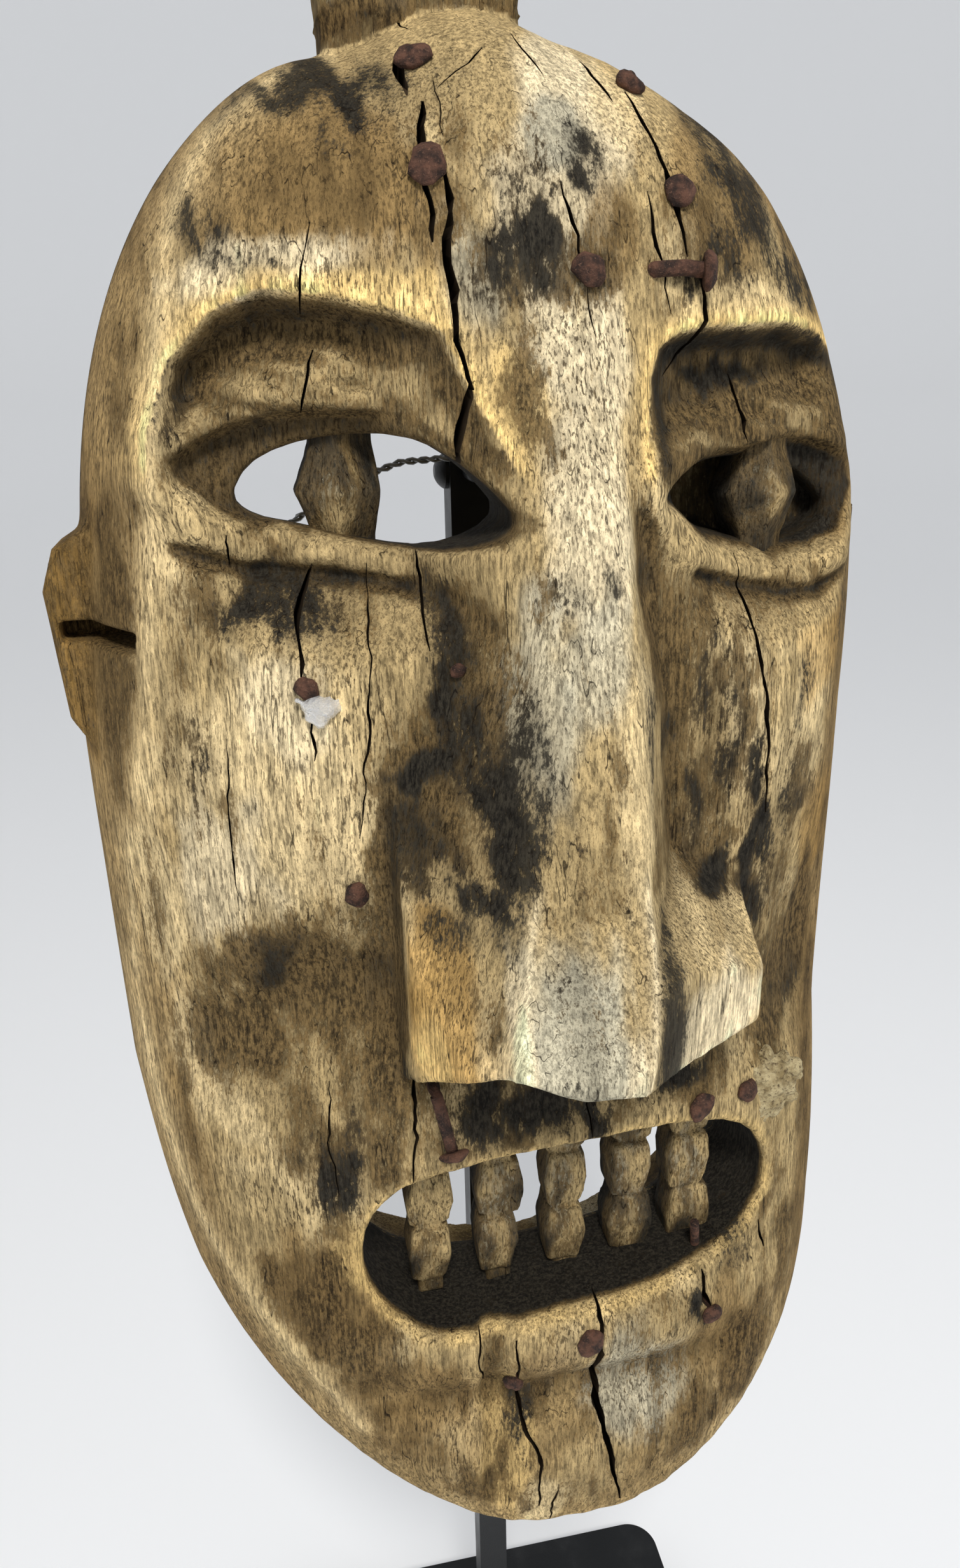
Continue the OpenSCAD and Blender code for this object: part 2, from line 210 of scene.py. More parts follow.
# Each eye: the sharp brow edge, the soft lower edge of its socket, the carved lids' opening, the
# pierced hole and the groove under the lower lid. level parts the upper lid from the lower one and
# back is the Y that the hole reaches. The last three numbers say how dark the inside of the lids and
# the socket are painted: painted shade, deeper in the right eye.
EYES = [
    {
        "brow": [(-66, 232), (-65, 240), (-61, 250), (-54, 257), (-46, 260), (-36, 259), (-28, 257),
                 (-20, 254), (-17, 247), (-13, 239), (-6, 227)],
        "low": [(-6, 227), (-13, 206), (-38, 202), (-60, 207), (-66, 232)],
        "lids": [(-63, 234), (-56, 238.5), (-46, 241.5), (-38, 242), (-30, 241.5), (-24, 240), (-18, 235),
                 (-6, 226), (-13, 222), (-22, 221), (-38, 224), (-53, 225.5)],
        "hole": [(-53, 229), (-50, 234), (-44, 237), (-36, 238.5), (-26, 238.5), (-20, 236), (-14, 231),
                 (-10, 226), (-14, 222.5), (-22, 220.5), (-30, 221.5), (-42, 224.5), (-50, 226)],
        "groove": [(-62, 222), (-51, 218), (-38, 217), (-26, 215)],
        "level": 231,
        "back": 60,
        "inner": 0.75,
        "dirt_and_shade": 0.66,
        "soot_and_shade": 0.38,
    },
    {
        "brow": [(11, 232), (11, 246), (13, 251), (17, 253), (22, 254), (29, 254), (38, 254.5), (48, 253),
                 (57, 249), (62, 242)],
        "low": [(62, 242), (64, 222), (56, 203), (36, 200), (19, 206), (11, 232)],
        "lids": [(14, 228), (18, 230.5), (23, 232.5), (29, 233.5), (35, 234), (42, 235), (50, 234), (58, 231),
                 (61, 226), (56, 218), (49, 216), (41, 216), (32, 218), (24, 220.5), (18, 225)],
        "hole": [(16, 228), (21, 231), (28, 232.5), (35, 232.5), (43, 231), (50, 228), (55, 222), (49, 217),
                 (41, 217), (32, 219), (24, 221.5)],
        "groove": [(22, 215), (30, 212), (40, 209.5), (50, 208.5), (57, 211)],
        "level": 227,
        "back": 33,
        "inner": 1.15,
        "dirt_and_shade": 0.88,
        "soot_and_shade": 0.72,
    },
]
SOCKET_DEPTH = 9.0
CREASE = [(-40, 290), (-51, 282), (-57, 272), (-60, 262), (-62, 251), (-63, 241), (-70, 196), (-76, 170),
          (-80, 138), (-79, 117), (-77, 104), (-74, 90), (-70, 81), (-63, 70), (-54, 55), (-44, 38)]
MOUTH = [(-41, 88), (-38, 97), (-30, 104), (-15, 108), (0, 110), (16, 109.5), (30, 106), (40, 99), (45, 90),
         (45, 81), (39, 74), (28, 70.5), (12, 68.5), (-5, 67.5), (-18, 65), (-29, 64.5), (-37, 71), (-41, 79)]


def eye_relief(x, z, eye):
    """The socket, the swollen lids with gouges over them, and the groove under the lower lid."""
    socket = outline_distance(x, z, eye["brow"] + eye["low"][1:-1])
    lids = outline_distance(x, z, rounded(eye["lids"]))
    depth = SOCKET_DEPTH * ease(line_distance(x, z, eye["brow"]) / 5.0)
    depth = depth * ease(line_distance(x, z, eye["low"]) / 17)
    height = np.where(socket < 0, -depth, 0)
    above = ease((z - eye["level"] + 5) / 8)
    outer = ease(lids / 0.8)
    uneven = 1 + 0.35 * flat_noise(x, z, 9, 6, 15, 3)
    height = height + above * outer * uneven * 3.6 * np.exp(-((lids - 3.0) / 6.0) ** 2)
    height = height + (1 - above) * outer * uneven * 2.4 * np.exp(-((lids - 3.0) / 3.2) ** 2)
    gouges = ease(-socket / 3) * above * ease((lids - 1) / 3)
    height = height - gouges * 0.9 * np.maximum(0, flat_noise(x, z + 0.25 * x, 11, 2.4, 19, 3))
    height = height - 1.6 * ease(-lids / 1.2)
    return height - 1.8 * np.exp(-(line_distance(x, z, eye["groove"]) / 1.2) ** 2)


# The nose, as heights in front of the plane Y = 0.
NOSE_RIDGE = [(118, 34), (147, 34), (168, 20), (250, 0), (262, -5), (275, -14), (300, -60)]
NOSE_EDGE_LEFT = [(250, -10), (200, -9), (171, -12), (149, -18), (120, -20)]
NOSE_EDGE_RIGHT = [(250, 3), (200, 7), (162, 6), (143, 2), (120, 2)]
NOSE_BASE_LEFT = [(255, -19), (220, -20), (210, -17), (197, -17), (187, -18), (172, -22), (160, -24),
                  (120, -24)]
NOSE_BASE_RIGHT = [(255, 12), (216, 11), (206, 14), (195, 16), (183, 17), (164, 19), (150, 20),
                   (120, 20)]
NOSE_UNDER = [(-31, 128), (-18, 130.5), (-8, 125.5), (2, 124.8), (14, 126.5), (32, 132)]
WING_RIGHT_FACE = [(2, 34), (14, 20), (31.5, 9), (40, 4)]


def nose_height(x, z, skin):
    """skin is the height of the dome there, which the flanks run down to."""
    ridge = lookup(z, NOSE_RIDGE)
    left, right = lookup(z, NOSE_EDGE_LEFT), lookup(z, NOSE_EDGE_RIGHT)
    base_left, base_right = lookup(z, NOSE_BASE_LEFT), lookup(z, NOSE_BASE_RIGHT)
    flank_left = skin - 1 + (ridge - skin + 1) * (x - base_left) / (left - base_left)
    flank_right = skin - 1 + (ridge - skin + 1) * (base_right - x) / (base_right - right)
    bluntness = 0.8 + 5.0 * ease((z - 166) / 24)
    body = soft_min(soft_min(flank_left, flank_right, 1.2), ridge, bluntness)
    wing_left = soft_min(34 + 2.0 * (x + 18), 10 + 1.1 * (x + 30) - 0.46 * (z - 154), 0.8)
    wing_left = soft_min(wing_left, 8 * (x + 31.5), 1.5)
    wing_right = soft_min(lookup(x, WING_RIGHT_FACE), 9 - 1.35 * (x - 31.5) - 1.6 * (z - 148), 0.8)
    wing_right = soft_min(wing_right, 8 * (33 - x), 1.5)
    wing_left = np.where(x > 0, -90, wing_left)
    wing_right = np.where(x < -6, -90, wing_right)
    nose = soft_max(body, soft_min(np.maximum(wing_left, wing_right), ridge, 0.8), 0.8)
    return soft_min(nose, (z - lookup(x, NOSE_UNDER)) * 1.85, 1.6)


def face_relief(x, z):
    """How far the carved face stands in front of the dome."""
    height = 0.0 * x
    for eye in EYES:
        height = height + eye_relief(x, z, eye)
    height = height + 2.2 * np.exp(-line_distance(x, z, CREASE) / 5)
    height = height - 5.0 * hill(x, z, -50, 138, 24, 12, 30)      # hollow of the left cheek
    height = height - 4.0 * hill(x, z, 50, 134, 12, 20, -10)      # hollow of the right cheek
    height = height + 3.0 * hill(x, z, -44, 186, 18, 22)
    height = height + 3.0 * hill(x, z, 42, 184, 18, 22)
    height = height + 4.5 * hill(x, z, 0, 108, 44, 16)            # upper lip
    height = height + 5.0 * hill(x, z, 4, 60, 36, 12)             # lower lip
    height = height - 2.5 * hill(x, z, 0, 46, 40, 5)
    height = height + 4.0 * hill(x, z, 2, 26, 30, 16)             # chin
    furrow = 2.2 * ease((x + 20) / 2.5) * ease((-10 - x) / 6)     # down the left of the chin
    height = height - furrow * ease((70 - z) / 4) * ease((z - 12) / 10)
    skin = dome_depth(x, z) - RIM_Y
    nose = nose_height(x, z, skin) - skin
    height = soft_max(height, nose, 2.5)
    height = height + 0.45 * flat_noise(x, z, 15, 22, 3, 2)       # tool marks and worn grain
    height = height + 0.22 * flat_noise(x, z, 2.6, 45, 5, 2)
    height = height + 0.12 * flat_noise(x, z, 3, 4, 7, 2)
    return height


def front_y(x, z):
    """Y of the finished wood surface at a place on the face."""
    x, z = np.asarray(x, float), np.asarray(z, float)
    return RIM_Y - dome_depth(x, z) - rim_fade(x, z) * face_relief(x, z)


# ---- The wood as a solid: a field that is negative inside, meshed at its zero level
CREST = [(-32.5, 280), (-32.5, 306), (-39, 350), (-33, 359), (-15, 361), (1, 359), (8, 350), (-0.5, 306),
         (-0.5, 280)]
EAR_LEFT = [(-68, 184), (-81, 183), (-85, 190), (-86.5, 213), (-84, 220), (-74, 226), (-66, 229)]
EAR_RIGHT = [(54, 186), (64, 188), (69, 193), (69, 220), (64, 226), (54, 226)]


def slab(x, y, z, outline, y0, y1):
    """An outline in XZ given a thickness from y0 to y1."""
    flat = outline_distance(x[:, 0, :], z[:, 0, :], outline)[:, None, :]
    return soft_max(flat, np.abs(y - (y0 + y1) / 2) - (y1 - y0) / 2, 2.5)


def block(x, y, z, low, high):
    """A box between two corners."""
    gaps = [np.maximum(a - v, v - b) for v, a, b in zip((x, y, z), low, high)]
    return np.maximum(np.maximum(gaps[0], gaps[1]), gaps[2])


def super_field(dx, dy, half, deep, power):
    """Distance-like field of a rounded section at each height, negative inside."""
    field = ((np.abs(dx) / half) ** power + (np.abs(dy) / deep) ** power) ** (1 / power) - 1
    slopes = np.gradient(field, VOXEL, axis=(0, 1))
    return field / np.maximum(0.004, np.sqrt(sum(s * s for s in slopes)))


def dome_field(x, y, z, middle):
    """The dome with the carved face on it."""
    flat_x, flat_z = x[:, 0, :], z[:, 0, :]
    relief = (face_relief(flat_x, flat_z) * rim_fade(flat_x, flat_z))[:, None, :].astype(np.float32)
    read_z = sunk(x, z)
    half = np.maximum(0.5, section_half(read_z)).astype(np.float32)
    deep = np.maximum(0.5, section_depth(read_z)).astype(np.float32)
    power = lookup(z, DOME_POWER).astype(np.float32)
    dome = super_field(x - middle, RIM_Y - y - relief, half, deep, power)
    pole = np.maximum(read_z - FACE_H, CHIN_Z - z)
    return soft_max(dome, pole.astype(np.float32), 1.0)


def hollow_field(x, y, z, middle):
    """The hollow behind the face, with wood left in it behind the right eye."""
    half, deep = (size.astype(np.float32) for size in hollow_size(z, HOLLOW_HALF, HOLLOW_DEEP, 0.5))
    hollow = super_field(x - middle, RIM_Y - y, half, deep, HOLLOW_POWER)
    hollow = np.maximum(hollow, np.abs(z - HOLLOW_MID) - HOLLOW_REACH)
    return soft_max(hollow, -block(x, y, z, *BACKING), 1.5)


def wood_field(x, y, z):
    """The dome with its crest and ears, less the hollow, the eye holes and the mouth slot."""
    flat_x, flat_z = x[:, 0, :], z[:, 0, :]
    middle = lookup(z, RIM_X).astype(np.float32)
    wood = dome_field(x, y, z, middle)
    wood = soft_min(wood, slab(x, y, z, rounded(CREST), 38, 51), 1.5)
    wood = soft_min(wood, slab(x, y, z, EAR_LEFT, 33, 51), 1.0)
    wood = soft_max(wood, -block(x, y, z, *EAR_NOTCH), 1.2)
    wood = soft_min(wood, slab(x, y, z, EAR_RIGHT, 41, 51), 1.0)
    worn = 0.35 + 0.35 * flat_noise(flat_x, flat_z, 9, 12, 11)[:, None, :]
    wood = soft_max(wood, (y - RIM_Y + worn).astype(np.float32), 1.5)
    wood = soft_max(wood, -hollow_field(x, y, z, middle), 2.5)
    for eye in EYES:
        hole = outline_distance(flat_x, flat_z, rounded(eye["hole"]))[:, None, :]
        wood = soft_max(wood, -np.maximum(hole, y - eye["back"]), 1.6)
    slot = outline_distance(flat_x, flat_z, rounded(MOUTH))[:, None, :]
    return soft_max(wood, -(slot + 0.0 * y), 2.6)


def solid_from_field(field_at, low, high, step=VOXEL):
    """Points and faces of the surface where a field is zero, over a box."""
    axes = [np.arange(a, b, step, dtype=np.float32) for a, b in zip(low, high)]
    x, y, z = np.meshgrid(*axes, indexing="ij", sparse=True)
    x = np.broadcast_to(x, (x.size, 1, z.size))
    z = np.broadcast_to(z, (x.shape[0], 1, z.size))
    field = np.ascontiguousarray(field_at(x, y, z), dtype=np.float32)
    grid = openvdb.FloatGrid()
    grid.copyFromArray(field)
    points, triangles, quads = grid.convertToPolygons(isovalue=0.0, adaptivity=0.0)
    points = points * step + np.array(low)
    return points, [list(f)[::-1] for f in triangles] + [list(f)[::-1] for f in quads]


def add_object(name, data):
    piece = bpy.data.objects.new(name, data)
    bpy.context.scene.collection.objects.link(piece)
    return piece


def mesh_object(name, points, faces, materials=(), smooth=True):
    """A mesh from points in millimetres in the mask's frame."""
    mesh = bpy.data.meshes.new(name)
    mesh.from_pydata(((np.asarray(points, float) + MASK_PLACE) * MM).tolist(), [], faces)
    mesh.update()
    piece = add_object(name, mesh)
    for material in materials:
        mesh.materials.append(material)
    mesh.polygons.foreach_set("use_smooth", [smooth] * len(mesh.polygons))
    return piece


def mask_points(mesh):
    """A mesh's vertices in millimetres in the mask's frame."""
    flat = np.zeros(len(mesh.vertices) * 3)
    mesh.vertices.foreach_get("co", flat)
    return flat.reshape(-1, 3) / MM - MASK_PLACE


class Parts:
    """Points and faces gathered into one object."""

    def __init__(self):
        self.points, self.faces = [], []

    def tube(self, rings):
        """Skin a list of rings, each a list of the same number of points, and close both ends."""
        start, sides = len(self.points), len(rings[0])
        for ring in rings:
            self.points += [tuple(point) for point in ring]
        for k in range(len(rings) - 1):
            for j in range(sides):
                a, b = start + k * sides + j, start + k * sides + (j + 1) % sides
                self.faces.append((a, b, b + sides, a + sides))
        self.faces.append(tuple(range(start, start + sides))[::-1])
        last = start + (len(rings) - 1) * sides
        self.faces.append(tuple(range(last, last + sides)))


def apply_modifier(piece, name):
    bpy.context.view_layer.objects.active = piece
    with bpy.context.temp_override(object=piece, active_object=piece):
        bpy.ops.object.modifier_apply(modifier=name)


# ---- Materials
class Shader:
    """A Principled material and the few node patterns that the materials here share."""

    def __init__(self, name, roughness=0.8, metallic=0.0, specular=0.3):
        self.material = bpy.data.materials.new(name)
        self.material.use_nodes = True
        self.tree = self.material.node_tree
        self.surface = self.tree.nodes["Principled BSDF"]
        self.surface.inputs["Roughness"].default_value = roughness
        self.surface.inputs["Metallic"].default_value = metallic
        self.surface.inputs["Specular IOR Level"].default_value = specular
        self.place = self.tree.nodes.new("ShaderNodeTexCoord").outputs["Object"]

    def link(self, source, target):
        if isinstance(source, bpy.types.NodeSocket):
            self.tree.links.new(source, target)
        else:
            target.default_value = source

    def noise(self, scale, stretch=(1, 1, 1), detail=3.0, roughness=0.6):
        """Noise with scale cells to the metre, drawn out where stretch is under 1."""
        mapping = self.tree.nodes.new("ShaderNodeMapping")
        self.tree.links.new(self.place, mapping.inputs["Vector"])
        mapping.inputs["Scale"].default_value = stretch
        noise = self.tree.nodes.new("ShaderNodeTexNoise")
        self.tree.links.new(mapping.outputs["Vector"], noise.inputs["Vector"])
        noise.inputs["Scale"].default_value = scale
        noise.inputs["Detail"].default_value = detail
        noise.inputs["Roughness"].default_value = roughness
        return noise.outputs["Fac"]

    def span(self, value, low, high, to_low=0.0, to_high=1.0):
        node = self.tree.nodes.new("ShaderNodeMapRange")
        node.interpolation_type = "SMOOTHSTEP"
        for socket, number in zip(("Value", "From Min", "From Max", "To Min", "To Max"),
                                  (value, low, high, to_low, to_high)):
            self.link(number, node.inputs[socket])
        return node.outputs["Result"]

    def math(self, operation, a, b=0.0):
        node = self.tree.nodes.new("ShaderNodeMath")
        node.operation = operation
        self.link(a, node.inputs[0])
        self.link(b, node.inputs[1])
        return node.outputs[0]

    def plus(self, a, b):
        return self.math("ADD", a, b)

    def minus(self, a, b):
        return self.math("SUBTRACT", a, b)

    def times(self, a, b):
        return self.math("MULTIPLY", a, b)

    def mix(self, amount, a, b, blend="MIX"):
        node = self.tree.nodes.new("ShaderNodeMix")
        node.data_type = "RGBA"
        node.blend_type = blend
        self.link(amount, node.inputs[0])
        self.link(a if isinstance(a, bpy.types.NodeSocket) else (*a, 1), node.inputs[6])
        self.link(b if isinstance(b, bpy.types.NodeSocket) else (*b, 1), node.inputs[7])
        return node.outputs[2]

    def scale_colour(self, colour, factor):
        """The colour times a number."""
        node = self.tree.nodes.new("ShaderNodeVectorMath")
        node.operation = "SCALE"
        self.link(colour, node.inputs[0])
        self.link(factor, node.inputs["Scale"])
        return node.outputs[0]

    def attribute(self, name):
        node = self.tree.nodes.new("ShaderNodeAttribute")
        node.attribute_name = name
        return node.outputs["Color"]

    def finish(self, colour, height=None, distance=0.0004, strength=0.6, roughness=None):
        self.link(colour, self.surface.inputs["Base Color"])
        if roughness is not None:
            self.link(roughness, self.surface.inputs["Roughness"])
        if height is not None:
            bump = self.tree.nodes.new("ShaderNodeBump")
            bump.inputs["Strength"].default_value = strength
            bump.inputs["Distance"].default_value = distance
            self.link(height, bump.inputs["Height"])
            self.link(bump.outputs["Normal"], self.surface.inputs["Normal"])
        return self.material


def wood_material(name):
    """Weathered hardwood with its grain up the mask.

    The paint attribute holds the clean wood's colour; the other attribute holds brown dirt and black
    soot, both carrying painted shade as well, and how worn and polished the wood is. Fine noise breaks the
    dirt and soot into specks.
    """
    shader = Shader(name, roughness=0.85, specular=0.08)
    wear_and_shade = shader.tree.nodes.new("ShaderNodeSeparateColor")
    shader.link(shader.attribute("wear_and_shade"), wear_and_shade.inputs["Color"])
    dirt_and_shade, soot_and_shade, polish = wear_and_shade.outputs["Red"], wear_and_shade.outputs["Green"], wear_and_shade.outputs["Blue"]
    fibre = shader.noise(1300, (1, 1, 0.06), 5, 0.7)
    specks = shader.noise(1400, (1, 1, 0.4), 5, 0.75)
    pores = shader.noise(2600, (1, 1, 0.15), 3, 0.6)
    checks = shader.noise(330, (1, 1, 0.035), 2, 0.5)
    mottle = shader.noise(260, (1, 1, 0.5), 7, 0.8)
    tone = shader.span(fibre, 0.3, 0.7, 0.5, 1.4)
    tone = shader.times(tone, shader.span(specks, 0.32, 0.66, 0.75, 1.2))
    tone = shader.times(tone, shader.span(mottle, 0.3, 0.7, 0.78, 1.22))
    clean = shader.scale_colour(shader.attribute("paint"), tone)
    pore = shader.span(pores, 0.47, 0.37)
    rough = shader.times(pore, shader.minus(0.9, polish))
    clean = shader.mix(rough, clean, (0.06, 0.04, 0.02))
    breaks = shader.plus(shader.times(fibre, 0.8), shader.times(specks, 1.1))
    breaks = shader.plus(breaks, shader.times(mottle, 0.7))
    breaks = shader.minus(breaks, 1.3)
    # Dirt and soot, with the painted shade laid into them, darken the wood here.
    dirt_and_shade_amount = shader.span(shader.plus(dirt_and_shade, shader.times(breaks, 1.2)), 0.36, 0.68)
    soot_and_shade_amount = shader.span(shader.plus(soot_and_shade, shader.times(breaks, 1.5)), 0.32, 0.88)
    flecks = shader.span(shader.plus(specks, shader.times(fibre, 0.6)), 0.66, 0.96)
    brown = shader.mix(flecks, (0.022, 0.014, 0.007), (0.2, 0.128, 0.05))
    colour = shader.mix(shader.times(dirt_and_shade_amount, 0.9), clean, brown)
    black = shader.mix(flecks, (0.007, 0.007, 0.007), (0.036, 0.033, 0.026))
    colour = shader.mix(shader.times(soot_and_shade_amount, 0.95), colour, black)
    check = shader.span(shader.math("ABSOLUTE", shader.minus(checks, 0.5)), 0.010, 0.003)
    check = shader.times(check, shader.span(mottle, 0.45, 0.6))
    colour = shader.mix(shader.times(check, 0.85), colour, (0.012, 0.008, 0.005))
    height = shader.minus(fibre, shader.times(pore, 0.3))
    height = shader.minus(height, shader.times(check, 0.6))
    height = shader.plus(height, shader.times(specks, 0.8))
    return shader.finish(colour, height, 0.0007, 0.8)


def crack_material():
    shader = Shader("crack_dark", roughness=0.95, specular=0.1)
    # The cracks' walls are painted near black: painted shade inside the narrow cracks.
    tone = shader.noise(900, (1, 1, 0.1))
    return shader.finish(shader.mix(tone, (0.012, 0.008, 0.005), (0.05, 0.032, 0.016)))


def rust_material():
    shader = Shader("rusty_iron", roughness=0.85, specular=0.3)
    coarse = shader.noise(420, detail=5)
    fine = shader.noise(2600, detail=4)
    colour = shader.mix(shader.span(coarse, 0.35, 0.65), (0.022, 0.012, 0.009), (0.12, 0.055, 0.034))
    colour = shader.mix(shader.span(fine, 0.55, 0.75), colour, (0.18, 0.095, 0.06))
    return shader.finish(colour, shader.plus(coarse, fine), 0.0006, 0.8)


def black_steel_material():
    shader = Shader("black_steel", roughness=0.42, specular=0.4)
    grain = shader.noise(1800, detail=2)
    dust = shader.noise(60, detail=5)
    colour = shader.mix(shader.span(dust, 0.5, 0.8), (0.006, 0.007, 0.008), (0.02, 0.021, 0.022))
    return shader.finish(colour, grain, 0.00015, 0.35, shader.span(dust, 0.3, 0.7, 0.36, 0.5))


def bright_steel_material(name, colour, roughness):
    shader = Shader(name, roughness=roughness, metallic=1.0)
    tone = shader.noise(900, (1, 1, 1), 3)
    return shader.finish(shader.mix(tone, [0.7 * c for c in colour], colour), tone, 0.0001, 0.4)


def cork_material():
    shader = Shader("cork", roughness=0.9)
    crumbs = shader.noise(900, detail=4)
    colour = shader.mix(shader.span(crumbs, 0.35, 0.65), (0.16, 0.085, 0.04), (0.46, 0.3, 0.16))
    return shader.finish(colour, crumbs, 0.0005, 0.8)


def felt_material():
    shader = Shader("felt", roughness=0.97, specular=0.1)
    fibres = shader.noise(2400, detail=5)
    colour = shader.mix(fibres, (0.012, 0.012, 0.013), (0.045, 0.045, 0.047))
    return shader.finish(colour, fibres, 0.0005, 0.9)


def resin_material():
    shader = Shader("resin", roughness=0.12, specular=0.5)
    shader.surface.inputs["Transmission Weight"].default_value = 0.55
    shader.surface.inputs["IOR"].default_value = 1.45
    bubbles = shader.noise(1300, detail=3)
    return shader.finish(shader.mix(bubbles, (0.62, 0.63, 0.64), (0.95, 0.95, 0.93)), bubbles, 0.0007, 0.9)


def putty_material():
    shader = Shader("putty", roughness=0.9)
    grains = shader.noise(1500, detail=4)
    lumps = shader.noise(350, detail=4)
    colour = shader.mix(shader.span(lumps, 0.35, 0.65), (0.24, 0.18, 0.085), (0.5, 0.41, 0.23))
    colour = shader.mix(shader.span(grains, 0.5, 0.7), colour, (0.09, 0.06, 0.03))
    return shader.finish(colour, shader.plus(grains, lumps), 0.0008, 0.9)


CARVED_WOOD = wood_material("carved_wood")
BAR_WOOD = wood_material("bar_wood")
CRACK = crack_material()
RUST = rust_material()
BLACK_STEEL = black_steel_material()

# ---- The wood's colours: patches of clean wood, then brown dirt and black soot over them, with painted shade and highlights
PALE, CREAM, TAN, BROWN = (0.84, 0.65, 0.35), (0.84, 0.70, 0.45), (0.47, 0.345, 0.165), (0.28, 0.18, 0.07)
GOLD, AMBER, GREY, UMBER = (0.86, 0.60, 0.24), (0.50, 0.29, 0.08), (0.52, 0.475, 0.345), (0.17, 0.11, 0.05)

# Patches: middle across and up, half-widths, colour, strength and, for some, a turn in degrees.
PATCHES = [
    # crown and forehead
    (-40, 272, 26, 20, BROWN, 0.95), (2, 284, 10, 14, CREAM, 0.95), (-4, 268, 12, 14, CREAM, 0.8),
    # The thin CREAM and GOLD patches along the left brow here and the PALE one along the right brow are
    # partly worn wood, partly painted highlight.
    (-46, 262, 20, 4.5, CREAM, 0.95, 6), (-30, 259, 16, 3.5, GOLD, 0.7, -5), (-2, 280, 5, 6, GREY, 0.9),
    (10, 285, 6, 8, PALE, 0.7), (24, 272, 12, 16, BROWN, 0.8, 15), (6, 266, 6, 8, BROWN, 0.7),
    (0, 249, 11, 11, CREAM, 0.9), (-15, 260, 5, 9, GREY, 0.7), (30, 256, 14, 5, PALE, 0.7),
    (-24, 288, 8, 7, TAN, 0.6), (-13, 288, 7, 7, TAN, 0.9), (16, 262, 4, 8, PALE, 0.6),
    # nose bridge and flanks
    (0, 226, 8, 22, CREAM, 0.9), (1, 205, 8, 12, GREY, 0.7), (6, 190, 6, 20, PALE, 0.7),
    (-12, 228, 5, 10, TAN, 0.8), (-10, 200, 6, 18, GREY, 0.7), (-10, 245, 4, 8, GOLD, 0.7, 20),
    # left cheek
    (-50, 182, 20, 26, PALE, 0.95), (-60, 166, 10, 16, CREAM, 0.7), (-47, 197, 8, 10, CREAM, 0.6),
    (-72, 160, 5, 22, PALE, 0.8), (-34, 196, 5, 12, TAN, 0.6), (-33, 160, 6, 10, PALE, 0.6),
    (-30, 210, 8, 8, TAN, 0.7), (-70, 126, 5, 18, PALE, 0.6, 5), (-63, 116, 6, 10, PALE, 0.7, 30),
    # right cheek
    (32, 192, 5, 22, PALE, 0.8), (47, 188, 6, 20, PALE, 0.6), (50, 200, 8, 12, AMBER, 0.5),
    (34, 166, 8, 12, TAN, 0.7), (55, 160, 8, 12, AMBER, 0.5), (62, 100, 6, 30, BROWN, 0.7),
    # round the mouth and the chin
    (-58, 92, 9, 12, TAN, 0.8), (-48, 74, 14, 18, BROWN, 0.9, 20), (-44, 84, 4, 10, GOLD, 0.5),
    (-36, 46, 18, 16, BROWN, 0.85, 40), (-14, 34, 6, 26, GOLD, 0.55), (-6, 54, 8, 10, UMBER, 0.5),
    (14, 44, 14, 18, GREY, 0.75), (24, 60, 10, 8, TAN, 0.8), (4, 22, 12, 12, TAN, 0.8),
    (36, 50, 8, 20, BROWN, 0.7), (12, 112, 10, 4, TAN, 0.8), (-10, 112, 10, 3, TAN, 0.7),
    (38, 110, 12, 8, TAN, 0.8), (50, 90, 6, 18, TAN, 0.9), (-6, 14, 6, 10, PALE, 0.8),
]
